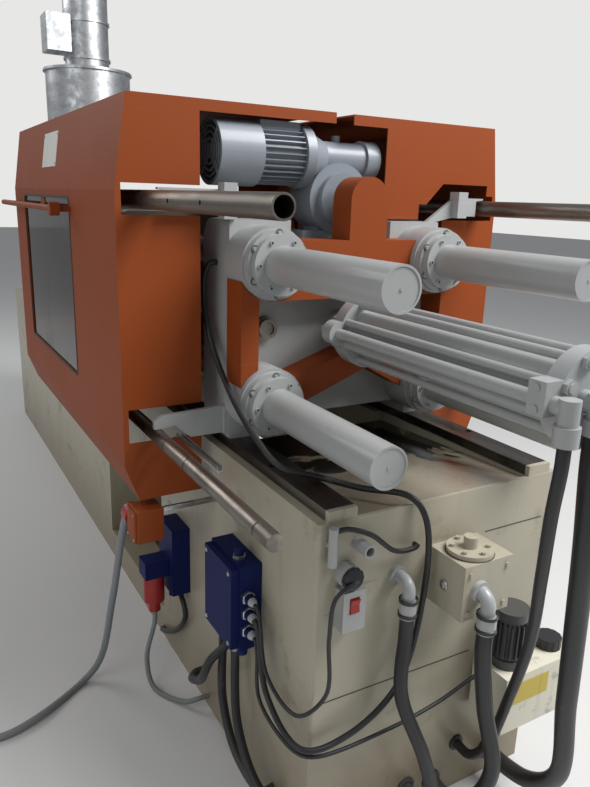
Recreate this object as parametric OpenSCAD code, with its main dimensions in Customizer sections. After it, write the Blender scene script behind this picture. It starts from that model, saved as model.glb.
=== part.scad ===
// Injection moulding machine: toggle clamp, two sliding gates, reciprocating screw.
// X runs along the machine, with the clamp cylinder at +X and the hopper at -X.
// The near side, with the handled gate, is at -Y. The origin is under the middle of the bed.

/* [Bed] */
// Length of the bed
bed_l = 4100; // [4000:10:4300]
// Width of the bed beyond the platens, on each side
bed_side = 23.5; // [20:0.5:30]
// Height of the side walls
bed_h = 909; // [880:1:930]
// Radius of the bed's upright corners
bed_corner_r = 8; // [4:1:20]
// Length of the opening under the mould and the toggle
drop_l = 1160; // [1100:10:1180]
// Distance from the slideways to that opening
drop_side = 33; // [25:1:45]
// Thickness of the sheet of the drip deck
deck_t = 3; // [2:0.5:5]
// Fall of the drip deck from the end wall to the opening
deck_fall = 26; // [10:1:40]

/* [Slideways] */
// Height of each slideway strip
way_h = 26; // [20:1:32]
// Width of each slideway strip
way_w = 75; // [60:1:80]
// Distance from the platens' sides to the strips' outer edges
way_in = 1; // [0:0.5:4]
// Thickness of the cap at the end of a strip
way_cap = 14; // [8:1:20]

/* [Platens] */
// Height of the clamp axis over the slideways
axis_up = 305; // [300:1:312]
// Distance from the bed's middle to the mould face of the fixed platen
mould_face_x = 191; // [180:1:200]
// Mould height, the gap between the closed platens
mould_h = 230; // [225:1:240]
// Thickness of the fixed platen
fixed_t = 150; // [120:1:160]
// Thickness of the moving platen
moving_t = 140; // [130:1:150]
// Thickness of the tail plate
tail_t = 172; // [150:1:180]
// Width of the platens and the tail plate
platen_w = 688; // [680:1:700]
// Height of the platens above the clamp axis
platen_up = 285; // [275:1:290]
// Radius of the platens' corners
platen_r = 30; // [10:1:40]

/* [Tie bars] */
// Radius of a tie bar
tie_r = 37.5; // [35:0.5:40]
// Distance from the platens' sides to the tie-bar axes
tie_in = 77; // [74:1:80]
// Distance from the clamp axis to the tie-bar axes, up and down
tie_dz = 181; // [178:1:184]
// Length of the tie bars behind the tail plate
tie_tail = 500; // [450:5:520]

/* [Toggle] */
// Length of the rear and front links between their pins
link_l = 320; // [315:1:322]
// Distance from the clamp axis to the fixed toggle pins
pivot_dz = 150; // [145:1:155]
// Radius of the link eyes
eye_r = 48; // [44:1:50]
// Radius of the main toggle pins
pin_r = 25; // [22:1:28]
// Radius of the crosshead link pins
small_pin_r = 18; // [15:1:20]
// Radius of the crosshead link eyes
small_eye_r = 34; // [30:1:36]
// Distance between the pins of a crosshead link, and from the fixed pin to its lug
lug_l = 260; // [255:1:262]
// Angle of the lug outwards from the rear link
lug_angle = 15; // [14:1:16]
// Distance from the fixed pin to the front of the tail plate
pivot_out = 78; // [74:1:82]
// Thickness of a rear link plate
rear_t = 30; // [24:1:30]
// Thickness of a front link plate
front_t = 34; // [28:1:36]
// Half of the free width between the rear link plates
plate_y = 60; // [58:1:62]
// Clear gap between plates side by side
side_gap = 5; // [3:1:6]
// Radial clearance of a pin in its bore
run = 0.05; // [0.02:0.01:0.08]

/* [Crosshead] */
// Radius of the crosshead's guide rods
guide_r = 22; // [20:1:25]
// Distance from the tie-bar axes to the guide rods, inwards
guide_in = 27; // [23:1:31]
// Radius of the piston rod
rod_r = 26; // [22:1:30]
// Half length of the crosshead along the rods
cross_half = 42; // [36:1:44]

/* [Clamp cylinder] */
// Inner radius of the cylinder
cyl_bore_r = 52; // [48:1:54]
// Wall of the cylinder tube
cyl_wall = 10; // [8:1:12]
// Radius of the cylinder's round heads
head_r = 96; // [92:1:100]
// Distance from the tail plate to the front head
head_gap = 119; // [112:1:124]
// Length over both heads
cyl_l = 742; // [730:1:756]
// Thickness of a head
head_t = 40; // [34:1:44]
// Radius of the cylinder's tie rods
cyl_rod_r = 10; // [8:0.5:12]
// Number of the cylinder's tie rods
cyl_rods = 8; // [6:2:8]
// Radius of the oil pipe beside the cylinder
oil_pipe_r = 14; // [12:1:16]

/* [Screw nuts and chain] */
// Outer radius of the nut housings
boss_r = 92; // [90:1:94]
// Depth of the nut housings behind the tail plate
boss_l = 105; // [100:1:110]
// Radius of the chain path on a sprocket
sprocket_r = 46; // [44:1:47]
// Number of teeth of a sprocket
sprocket_teeth = 26; // [22:2:28]
// Distance from the tail plate to the chain's middle plane
chain_x = 40; // [36:1:44]
// Height of the chain's links
chain_h = 12; // [10:1:13]
// Radius of the bolted flange ring
ring_r = 86; // [84:1:88]
// Radius of the smaller flange of a tie-bar cover
flange_r = 76; // [72:1:80]
// Thickness of each flange
flange_t = 20; // [16:1:22]
// Outer radius of a tie-bar cover
cover_r = 48; // [46:0.5:50]
// Wall of a tie-bar cover
cover_wall = 5; // [3:0.5:6]
// Length of a tie-bar cover behind its flange
cover_l = 470; // [450:5:480]

/* [Chain cover] */
// Thickness of the cover's sheet
chain_sheet = 3; // [2:0.5:4]
// Depth of the chain cover
chain_cover_l = 88; // [80:1:95]
// Radius of the tongue's round top
tongue_r = 60; // [56:1:62]
// Height of the drive shaft over the clamp axis
drive_up = 342; // [338:1:345]
// Distance of the drive shaft from the machine's centre
drive_y = 26; // [20:1:30]

/* [Gearmotor] */
// Height of the motor shaft over the drive shaft
worm_dz = 111; // [105:1:115]
// Distance from the tail plate's rear to the motor shaft, forwards
motor_x = 118; // [112:1:124]
// Radius of the fan cowl
cowl_r = 85; // [80:1:88]
// Length of the fan cowl
cowl_l = 118; // [110:1:125]
// Length of the finned body
fin_l = 150; // [140:1:160]
// Number of cooling fins
fin_count = 30; // [24:2:36]
// Distance from the machine's centre to the motor's flange
motor_flange_y = 82; // [78:1:90]
// Radius of the worm wheel housing
wheel_r = 98; // [92:1:102]

/* [Gates] */
// Length of a gate
gate_l = 1490; // [1480:10:1500]
// Distance of the gate's tail end behind the bed's middle
gate_end = 1481; // [1475:1:1485]
// Distance from the guard bars to a gate's side wall
gate_out = 81; // [76:1:88]
// Thickness of the gate sheet
sheet = 4; // [3:0.5:5]
// Height of the gate's top over the clamp axis
gate_up = 569; // [560:1:575]
// Depth of the gate's bottom edge under the clamp axis
gate_down = 462; // [455:1:470]
// Height of the crease under the roof over the clamp axis
crease_up = 347; // [335:1:360]
// Depth of the lower crease under the clamp axis
crease_down = 360; // [350:1:370]
// Distance from the guard bars to the end faces' inner edge
face_in = 137; // [130:1:142]
// Travel of a gate
gate_travel = 620; // [600:10:620]
// Height of the lip under the roof's end
lip_h = 28; // [22:1:30]
// Thickness of a window pane
pane_t = 5; // [4:0.5:6]

/* [Guard bars] */
// Distance from the platens' sides to the guard bars
bar_out = 196; // [190:1:202]
// Height of the upper guard bars over the clamp axis
bar_up = 327; // [324:1:330]
// Depth of the lower guard bars under the clamp axis
bar_down = 272; // [268:1:276]
// Radius of the upper bars
bar_up_r = 23; // [21:0.5:24]
// Wall of the upper bars
bar_up_wall = 4; // [3:0.5:5]
// Radius of the lower bars
bar_low_r = 19; // [17:0.5:20]
// Place of the bars' tail end
bar_end = 2172; // [2165:1:2180]

/* [Injection unit] */
// Radius of the barrel
barrel_r = 58; // [54:1:60]
// Radius of the screw
screw_r = 22.5; // [20:0.5:25]
// Length of the barrel from its shoulder to its block
barrel_l = 1050; // [1040:10:1060]
// Pitch of the screw flight
flight_pitch = 45; // [40:1:50]
// Place of the hopper's axis
hopper_x = -1200; // [-1210:1:-1190]
// Radius of the hopper's rim
hopper_r = 235; // [225:1:240]
// Height of the hopper's rim over the clamp axis
hopper_up = 1000; // [990:1:1010]
// Radius of the loader's drum
loader_r = 122; // [115:1:125]
// Radius of the injection unit's guide rods
unit_rod_r = 25; // [22:1:28]
// Distance from the machine's centre to these rods
unit_rod_dy = 160; // [155:1:165]

/* [Rear face] */
// Width of the pump switch box
valve_box_w = 150; // [140:1:160]
// Length of the lubrication tank
tank_l = 262; // [250:2:270]

/* [Hidden] */
$fn = 48;

cream = "#d8d2c2";
white = "#dfe1e0";
orange = "#c64a22";
steel = "#9a9a98";
dark = "#2a2b2d";
blue = "#1d2c6b";

// Widths and heights that follow the platens and the slideways
bed_w = platen_w + 2 * bed_side;
way_y = platen_w / 2 - way_in - way_w;
drop_w = 2 * (way_y - drop_side);
tie_dy = platen_w / 2 - tie_in;
guide_dy = tie_dy - guide_in;
bar_y = platen_w / 2 + bar_out;
gate_y = bar_y + gate_out;
face_y = bar_y - face_in;
way_top = bed_h + way_h;
axis_z = way_top + axis_up;
platen_top = axis_z + platen_up;
bar_up_z = axis_z + bar_up;
bar_low_z = axis_z - bar_down;
gate_top = axis_z + gate_up;
gate_low = axis_z - gate_down;
crease_z = axis_z + crease_up;
low_crease_z = axis_z - crease_down;
hopper_top = axis_z + hopper_up;

// Places along the machine
pin_b_x = mould_face_x + mould_h + moving_t + 80;
pin_a_x = pin_b_x + 2 * link_l;
tail_x0 = pin_a_x + pivot_out;
tail_x1 = tail_x0 + tail_t;
boss_x = tail_x1 + boss_l;
cover_x = boss_x + 2 * flange_t;
cross_x = pin_a_x - 2 * lug_l * cos(lug_angle);
drop_x = 260;
deck_x = drop_x + drop_l;
deck_floor = bed_h - deck_fall - 60;
neck_r = 38;
bed_end = bed_l / 2;
way_x1 = bed_end - way_cap - 2;
bed_y = bed_w / 2;

// Layers of the toggle across the machine
rear_y = plate_y + rear_t;
front_y = rear_y + side_gap;
front_y1 = front_y + front_t;
lug_y = front_y1 + side_gap;
chain_z = axis_z + drive_up;
guide_z = axis_z;
idler_r = sprocket_r * 15 / sprocket_teeth;

// Centres of the four tie bars, as [y, z]
ties = [[-tie_dy, axis_z + tie_dz], [tie_dy, axis_z + tie_dz],
        [-tie_dy, axis_z - tie_dz], [tie_dy, axis_z - tie_dz]];

// A flat shape drawn in X and Z, made solid from y0 to y1
module xz(y0, y1) {
  translate([0, y1, 0]) rotate([90, 0, 0]) linear_extrude(y1 - y0) children();
}

// A flat shape drawn in Y and Z, made solid from x0 to x1
module yz(x0, x1) {
  translate([x0, 0, 0]) rotate([90, 0, 90]) linear_extrude(x1 - x0) children();
}

// A round bar along X from x0 to x1
module xbar(x0, x1, r, y, z) {
  translate([x0, y, z]) rotate([0, 90, 0]) cylinder(h = x1 - x0, r = r);
}

// A round bar along Y from y0 to y1
module ybar(y0, y1, r, x, z) {
  translate([x, y0, z]) rotate([-90, 0, 0]) cylinder(h = y1 - y0, r = r);
}

// A round bar along Z from z0 to z1
module zbar(z0, z1, r, x, y) {
  translate([x, y, z0]) cylinder(h = z1 - z0, r = r);
}

// A box from its lowest to its highest corner
module block(a, b) {
  translate(a) cube(b - a);
}

// A flat bar with round ends from p to q
module bar2d(p, q, r) {
  side = 0.98 * r * [p.y - q.y, q.x - p.x] / norm(q - p);
  translate(p) circle(r);
  translate(q) circle(r);
  polygon([p - side, q - side, q + side, p + side]);
}

// A rectangle with round corners, centred on the first axis
module plate2d(w, z0, z1, r) {
  translate([-w / 2 + r, z0]) square([w - 2 * r, z1 - z0]);
  translate([-w / 2, z0 + r]) square([w, z1 - z0 - 2 * r]);
  for (y = [-w / 2 + r, w / 2 - r], z = [z0 + r, z1 - r]) translate([y, z]) circle(r);
}

// A ring of round things around an axis along X
module x_ring(x, y, z, r, count, start = 0) {
  for (i = [0 : count - 1]) {
    a = start + 360 * i / count;
    translate([x, y + r * cos(a), z + r * sin(a)]) children();
  }
}

// A hexagon bolt head or nut along X, across its corners 2r
module x_hex(l, r) {
  rotate([0, 90, 0]) cylinder(h = l, r = r, $fn = 6);
}

// Bed and slideways
module bed() color(cream) {
  side_x0 = 330;
  side_x1 = 1020;
  difference() {
    linear_extrude(bed_h) {
      square([bed_l, bed_w - 2 * bed_corner_r], center = true);
      square([bed_l - 2 * bed_corner_r, bed_w], center = true);
      for (x = [-1, 1], y = [-1, 1])
        translate([x * (bed_end - bed_corner_r), y * (bed_y - bed_corner_r)]) circle(bed_corner_r);
    }
    block([drop_x, -drop_w / 2, 60], [deck_x, drop_w / 2, bed_h + 1]);
    block([side_x0, -bed_y - 1, 120], [side_x1, bed_y + 1, 560]);
    block([deck_x - 1, -way_y + 6, deck_floor], [bed_end - 10, way_y - 6, bed_h + 1]);
  }
  // Caps that close the ends of the slideways
  for (s = [-1, 1])
    block([way_x1, min(s * way_y, s * (way_y + way_w)), bed_h],
          [way_x1 + way_cap, max(s * way_y, s * (way_y + way_w)), way_top]);
}

module drip_deck() color("#cfcab8") {
  x0 = deck_x + 4;
  x1 = bed_end - 12;
  z0 = bed_h - deck_fall - 4;
  z1 = bed_h - 4;
  // Sloping sheet with a flange down at each end
  xz(-way_y + 8, way_y - 8)
    polygon([[x0, deck_floor], [x0 + deck_t, deck_floor], [x0 + deck_t, z0 - deck_t],
             [x1 - deck_t, z1 - deck_t], [x1 - deck_t, deck_floor], [x1, deck_floor], [x1, z1], [x0, z0]]);
}

module slideways() color(steel) {
  for (s = [-1, 1])
    difference() {
      block([240, min(s * way_y, s * (way_y + way_w)), bed_h],
            [way_x1 - 1, max(s * way_y, s * (way_y + way_w)), way_top]);
      for (x = [320 : 240 : bed_end - 130])
        zbar(way_top - 10, way_top + 1, 9, x, s * (way_y + way_w - 16));
    }
}

// Bores for the four tie bars
module tie_holes(x0, x1, r) {
  for (t = ties) xbar(x0, x1, r, t.x, t.y);
}

module fixed_platen() color(cream) {
  x0 = mould_face_x - fixed_t;
  difference() {
    union() {
      yz(x0, mould_face_x) plate2d(platen_w, bed_h, axis_z + platen_up, platen_r);
      // Arms that carry the guard bars
      for (s = [-1, 1], up = [0, 1]) {
        z = up == 1 ? bar_up_z : bar_low_z;
        arm = up == 1 ? 30 : 20;
        difference() {
          block([x0 + 5, min(s * (platen_w / 2 - 5), s * (bar_y + 38)), z - arm],
                [x0 + 50, max(s * (platen_w / 2 - 5), s * (bar_y + 38)), z + arm]);
          xbar(x0, x0 + 60, (up == 1 ? bar_up_r : bar_low_r) + run, s * bar_y, z);
        }
      }
      for (s = [-1, 1])
        block([x0 + 5, min(s * 250, s * (platen_w / 2 + 20)), platen_top - 20],
              [x0 + 50, max(s * 250, s * (platen_w / 2 + 20)), bar_up_z + 30]);
    }
    tie_holes(x0 - 1, mould_face_x + 1, tie_r + run);
    xbar(x0 - 1, mould_face_x + 1, 45, 0, axis_z);
    xbar(x0 - 1, x0 + fixed_t - 70, 110, 0, axis_z);
    xbar(mould_face_x - 12, mould_face_x + 1, 62.5, 0, axis_z);
    // Threaded holes for mould clamps
    for (y = [-140, -70, 70, 140], z = [-110, 110])
      xbar(mould_face_x - 40, mould_face_x + 1, 8, y, axis_z + z);
  }
}

module tie_bars() color(steel) {
  x0 = mould_face_x - fixed_t - 60;
  x1 = tail_x1 + tie_tail;
  for (t = ties) {
    xbar(x0, x1, tie_r, t.x, t.y);
    xbar(mould_face_x, mould_face_x + 14, tie_r + 8, t.x, t.y);
  }
}

module platen_nuts() color(steel) {
  x1 = mould_face_x - fixed_t;
  for (t = ties)
    difference() {
      translate([x1 - 52, t.x, t.y]) rotate([0, 90, 0]) cylinder(h = 52, r = 66);
      xbar(x1 - 53, x1 + 1, tie_r + run, t.x, t.y);
      x_ring(x1 - 53, t.x, t.y, 54, 6) rotate([0, 90, 0]) cylinder(h = 14, r = 6);
    }
}

module guard_bars() color("#8d8c88") {
  x0 = mould_face_x - fixed_t;
  for (s = [-1, 1]) {
    difference() {
      xbar(x0, bar_end, bar_up_r, s * bar_y, bar_up_z);
      xbar(x0 - 1, bar_end + 1, bar_up_r - bar_up_wall, s * bar_y, bar_up_z);
      for (x = [bar_end - 300, bar_end - 485, bar_end - 670])
        ybar(s * bar_y - (s < 0 ? bar_up_r + 1 : 0), s * bar_y + (s > 0 ? bar_up_r + 1 : 0), 5, x, bar_up_z);
    }
    difference() {
      xbar(x0, bar_end, bar_low_r, s * bar_y, bar_low_z);
      for (x = [bar_end - 62, bar_end - 428, bar_end - 570])
        difference() {
          xbar(x, x + 4, bar_low_r + 1, s * bar_y, bar_low_z);
          xbar(x - 1, x + 5, bar_low_r - 1.5, s * bar_y, bar_low_z);
        }
    }
  }
}

// Rear face and near side fittings
box_y0 = -50;
box_z0 = bed_h - 259;
box_z1 = box_z0 + 140;

module suction_box() color(cream) {
  x1 = bed_end + 124;
  block([bed_end, box_y0, box_z0], [x1, box_y0 + valve_box_w, box_z1]);
  // Round flange and pipe bend on the lid
  zbar(box_z1, box_z1 + 12, 56, bed_end + 66, box_y0 + 66);
  zbar(box_z1 + 12, box_z1 + 40, 17, bed_end + 66, box_y0 + 66);
  for (a = [0 : 60 : 300])
    zbar(box_z1 + 12, box_z1 + 19, 6, bed_end + 66 + 43 * cos(a), box_y0 + 66 + 43 * sin(a));
  for (y = [box_y0 + 18, box_y0 + valve_box_w - 18], z = [box_z0 + 18, box_z1 - 22])
    xbar(x1, x1 + 5, 6, y, z);
}

switch_y = -288;
switch_z = bed_h - 209;

plug_y = -296;
plug_z = bed_h - 127;

module switch_box() color(white) {
  difference() {
    block([bed_end, switch_y - 30, switch_z - 50], [bed_end + 36, switch_y + 30, switch_z + 50]);
    block([bed_end + 22, switch_y - 13, switch_z - 6], [bed_end + 37, switch_y + 13, switch_z + 34]);
    ybar(switch_y - 18, switch_y + 18, 3 + run, bed_end + 30, switch_z + 14);
  }
  // Round plug socket above the box
  xbar(bed_end, bed_end + 30, 28, plug_y, plug_z);
}

module rocker_switch() color("#b3261e") {
  xz(switch_y - 12, switch_y + 12)
    polygon([[bed_end + 30, switch_z - 2], [bed_end + 40, switch_z - 2], [bed_end + 37, switch_z + 14],
             [bed_end + 42, switch_z + 30], [bed_end + 30, switch_z + 30]]);
  // Pin that the rocker tilts on
  ybar(switch_y - 17, switch_y + 17, 3, bed_end + 30, switch_z + 14);
}

// A pipe elbow that leaves the plane x0 and turns down
module elbow(x0, y, z, out, r) {
  bend = round(1.6 * r);
  xbar(x0, x0 + out - bend, r, y, z);
  translate([x0 + out - bend, y, z - bend]) rotate([90, 0, 0]) rotate_extrude(angle = 90)
    translate([bend, 0]) circle(r);
  zbar(z - bend - 40, z - bend, r, x0 + out, y);
  zbar(z - bend - 62, z - bend - 18, 1.35 * r, x0 + out, y);
  xbar(x0, x0 + 12, 1.5 * r, y, z);
}

module outlet_elbows() color("#d4d2ca") {
  elbow(bed_end, -148, bed_h - 169, 52, 15);
  elbow(bed_end + 124, -2, box_z0 + 72, 34, 17);
  // Open drain stub and small connector column at the near corner
  difference() {
    xbar(bed_end, bed_end + 52, 15, -266, bed_h - 61);
    xbar(bed_end + 20, bed_end + 53, 11, -266, bed_h - 61);
  }
  zbar(bed_h - 94, bed_h - 4, 11, bed_end + 16, -340);
  xbar(bed_end, bed_end + 16, 8, -340, bed_h - 49);
}

tank_x0 = bed_end + 12;
tank_y0 = 130;
tank_z0 = 265;
tank_z1 = 430;

module lubrication_tank() color("#e4e2d8") {
  x1 = tank_x0 + 118;
  y1 = tank_y0 + tank_l;
  difference() {
    union() {
      block([tank_x0, tank_y0, tank_z0], [x1, y1, tank_z1]);
      block([bed_end, tank_y0 + 20, tank_z0 + 30], [tank_x0, 350, tank_z1 - 30]);
      zbar(tank_z1, tank_z1 + 14, 24, tank_x0 + 60, y1 - 50);
    }
    zbar(tank_z1 - 20, tank_z1 + 15, 19, tank_x0 + 60, y1 - 50);
    xbar(x1 - 4, x1 + 1, 4, y1 - 26, tank_z0 + 90);
    block([x1 - 4, y1 - 30, tank_z0 + 90], [x1 + 1, y1 - 22, tank_z1 - 20]);
  }
}

module tank_cap() color(dark) {
  x = tank_x0 + 60;
  y = tank_y0 + tank_l - 50;
  difference() {
    zbar(tank_z1 + 0.3, tank_z1 + 30, 34, x, y);
    zbar(tank_z1, tank_z1 + 22, 24.3, x, y);
    for (a = [0 : 30 : 330])
      zbar(tank_z1, tank_z1 + 31, 3, x + 35 * cos(a), y + 35 * sin(a));
  }
}

module lubrication_motor() color("#8f9296") {
  x = tank_x0 + 60;
  y = tank_y0 + 54;
  z0 = tank_z1;
  zbar(z0, z0 + 26, 40, x, y);
  zbar(z0 + 26, z0 + 140, 36, x, y);
  for (i = [0 : 17])
    translate([x, y, z0 + 34]) rotate(i * 20) translate([34, -1.5, 0]) cube([11, 3, 96]);
  zbar(z0 + 140, z0 + 164, 44, x, y);
}

gland_y = -bed_y - 40;
main_x0 = bed_end - 438;
main_x1 = main_x0 + 180;
main_z0 = 452;
main_z1 = 692;
gland_l = 24;

module junction_boxes() color(blue) {
  y1 = -bed_y;
  // Large box with a chamfered lid
  block([main_x0, y1 - 62, main_z0], [main_x1, y1, main_z1]);
  block([main_x0 + 6, y1 - 84, main_z0 + 6], [main_x1 - 6, y1 - 62, main_z1 - 6]);
  // Flat box further forward
  block([1165, y1 - 60, 330], [1290, y1, 560]);
  block([1195, y1 - 140, 392], [1261, y1 - 60, 450]);
  // Glands under, over and behind the boxes
  zbar(main_z1, main_z1 + 30, 13, main_x1 - 52, gland_y);
  for (x = [28, 68, 108, 152]) zbar(main_z0 - 28, main_z0, 14, main_x0 + x, gland_y);
  for (z = [58, 108, 153]) xbar(main_x1, main_x1 + gland_l, 14, gland_y, main_z0 + z);
  zbar(300, 330, 11, 1228, gland_y);
}

limit_x0 = 1424;
limit_x1 = 1500;
limit_z0 = gate_low - 123;
limit_z1 = gate_low - 26;

module limit_switch_box() color(orange) {
  block([limit_x0, -606, limit_z0], [limit_x1, -522, limit_z1]);
  // Light bar that carries the box from the bed's side
  block([limit_x1 - 14, -522, limit_z1 - 14], [limit_x1 - 4, -bed_y, limit_z1]);
}

module red_plugs() color("#8e1b1b") {
  // Upper plug hangs from the limit switch box's bar, the lower one under the flat box
  xbar(1352, 1396, 30, -572, limit_z0 + 35);
  xbar(1396, limit_x0, 20, -572, limit_z0 + 35);
  zbar(300, 392, 34, 1228, -470);
  zbar(262, 300, 20, 1228, -470);
  // Plug on the floor at the grey cable's far end
  ybar(-1200, -1110, 28, 1270, 29);
}

// Injection unit
unit_z = bed_h + 120;
beam_gap = 250;
beam_w = 90;
housing_x0 = hopper_x - 200;
housing_x1 = hopper_x + 170;

module injection_rods() color(steel) {
  x0 = -bed_end + 20;
  for (s = [-1, 1]) {
    xbar(x0, mould_face_x - fixed_t, unit_rod_r, s * unit_rod_dy, unit_z);
    difference() {
      block([x0 - 15, s * unit_rod_dy - 55, bed_h], [x0 + 40, s * unit_rod_dy + 55, unit_z + 50]);
      xbar(x0, x0 + 41, unit_rod_r + run, s * unit_rod_dy, unit_z);
    }
  }
}

module carriage() color(cream) {
  difference() {
    union() {
      block([housing_x0, -250, unit_z - 60], [housing_x1, 250, unit_z + 60]);
      block([housing_x0 + 20, -165, unit_z + 60], [housing_x1 - 20, 165, axis_z + 130]);
      // Injection cylinders beside the barrel block
      for (s = [-1, 1]) xbar(housing_x0 - 10, housing_x1 + 190, 58, s * 215, axis_z);
    }
    for (s = [-1, 1]) {
      xbar(housing_x0 - 1, housing_x1 + 1, unit_rod_r + run, s * unit_rod_dy, unit_z);
      xbar(housing_x0 - 11, housing_x0 + 300, 22 + run, s * 215, axis_z);
    }
    xbar(housing_x0 - 1, housing_x1 + 1, barrel_r + run, 0, axis_z);
    zbar(axis_z, axis_z + 200, 30, hopper_x, 0);
  }
}

barrel_x1 = housing_x1 + barrel_l;
nozzle_x = mould_face_x - 12.3;

module barrel() color("#8b8d90") {
  x0 = housing_x0;
  difference() {
    union() {
      xbar(x0, barrel_x1, barrel_r, 0, axis_z);
      // Bolted end cap and nozzle with its round tip
      xbar(barrel_x1, barrel_x1 + 60, 40, 0, axis_z);
      translate([barrel_x1 + 60, 0, axis_z]) rotate([0, 90, 0]) cylinder(h = 34, r1 = 40, r2 = 22);
      xbar(barrel_x1 + 94, nozzle_x - 12, 22, 0, axis_z);
      translate([nozzle_x - 12, 0, axis_z]) rotate([0, 90, 0]) cylinder(h = 12, r1 = 22, r2 = 12);
      // Heater bands with their terminal boxes
      for (i = [0 : 4]) {
        x = housing_x1 + 130 + i * 185;
        xbar(x, x + 150, barrel_r + 9, 0, axis_z);
        block([x + 50, -18, axis_z + barrel_r], [x + 100, 18, axis_z + barrel_r + 34]);
      }
    }
    xbar(x0 - 1, barrel_x1 + 10, screw_r + 0.2, 0, axis_z);
    xbar(barrel_x1 + 5, nozzle_x + 1, 5, 0, axis_z);
    zbar(axis_z, axis_z + 100, 28, hopper_x, 0);
  }
}

module screw() color("#b9bbbd") {
  x1 = barrel_x1 - 10;
  x0 = hopper_x - 60;
  neck = 11;
  // Flighted length, tip and drive end, joined by short necks
  translate([x0, 0, axis_z]) rotate([0, 90, 0])
    linear_extrude(height = x1 - 46 - x0, twist = -360 * (x1 - 46 - x0) / flight_pitch,
                   slices = floor((x1 - 46 - x0) / flight_pitch * 8), $fn = 8)
      polygon([for (a = [0 : 45 : 315]) (a < 60 ? screw_r : 15) * [cos(a), sin(a)]]);
  xbar(x1 - 60, x1 - 40, neck, 0, axis_z);
  xbar(x1 - 42, x1 - 29, screw_r - 3, 0, axis_z);
  translate([x1 - 30, 0, axis_z]) rotate([0, 90, 0]) cylinder(h = 30, r1 = 16, r2 = 3);
  xbar(x0 - 6, x0 + 20, neck, 0, axis_z);
  xbar(housing_x0 - beam_gap + 2, x0 - 4, screw_r, 0, axis_z);
}

module injection_beam() color(cream) {
  x0 = housing_x0 - beam_gap;
  difference() {
    union() {
      block([x0, -285, axis_z - 70], [x0 + beam_w, 285, axis_z + 70]);
      xbar(x0 - 70, x0, 110, 0, axis_z);
      xbar(x0 - 300, x0 - 70, 84, 0, axis_z);
      // Feet that ride the guide rods
      for (s = [-1, 1])
        block([x0 + 10, s * unit_rod_dy - 45, unit_z - 45], [x0 + 80, s * unit_rod_dy + 45, axis_z - 70]);
    }
    for (s = [-1, 1]) xbar(x0 - 1, x0 + beam_w + 1, unit_rod_r + run, s * unit_rod_dy, unit_z);
    xbar(x0, x0 + beam_w + 1, screw_r + run, 0, axis_z);
  }
  // Piston rods into the injection cylinders
  for (s = [-1, 1]) xbar(x0 + beam_w, housing_x0 + 150, 22, s * 215, axis_z);
}

hopper_low = axis_z + 130;

module hopper() color("#b8babb") {
  zs = hopper_low + 32;
  wall = 3;
  // Throat block with a slot for the slide
  difference() {
    block([hopper_x - 95, -90, hopper_low], [hopper_x + 95, 90, zs]);
    zbar(hopper_low - 1, zs + 1, 34, hopper_x, 0);
    block([hopper_x - 80.3, -84, hopper_low + 10.7], [hopper_x + 80.3, 91, hopper_low + 21.3]);
  }
  translate([hopper_x, 0, 0]) rotate_extrude()
    polygon([[34, zs], [90, zs], [90, zs + 10], [34 + wall, zs + 10], [34 + wall, zs + 90],
             [hopper_r, zs + 430], [hopper_r, hopper_top - 8], [hopper_r + 12, hopper_top - 8],
             [hopper_r + 12, hopper_top], [hopper_r - wall, hopper_top], [hopper_r - wall, zs + 431],
             [34, zs + 92]]);
}

module hopper_slide() color(steel) {
  difference() {
    block([hopper_x - 80, -80, hopper_low + 11], [hopper_x + 80, 150, hopper_low + 21]);
    zbar(hopper_low, hopper_low + 40, 30, hopper_x, 0);
  }
  // Pull knob at the slide's end
  ybar(150, 190, 9, hopper_x, hopper_low + 16);
  ybar(190, 212, 18, hopper_x, hopper_low + 16);
}

module hopper_loader() color("#a9aeb2") {
  z0 = hopper_top;
  zbar(z0, z0 + 6, hopper_r + 8, hopper_x, 0);
  zbar(z0 + 6, z0 + 430, loader_r, hopper_x, 0);
  for (z = [z0 + 60, z0 + 250]) zbar(z, z + 14, loader_r + 8, hopper_x, 0);
  zbar(z0 + 430, z0 + 520, loader_r - 12, hopper_x, 0);
  block([hopper_x - 80, -loader_r - 110, z0 + 90], [hopper_x + 80, -loader_r + 20, z0 + 280]);
}

// Tail plate and what it carries
tail_edge_r = 6;
tail_front_r = 62;

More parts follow.
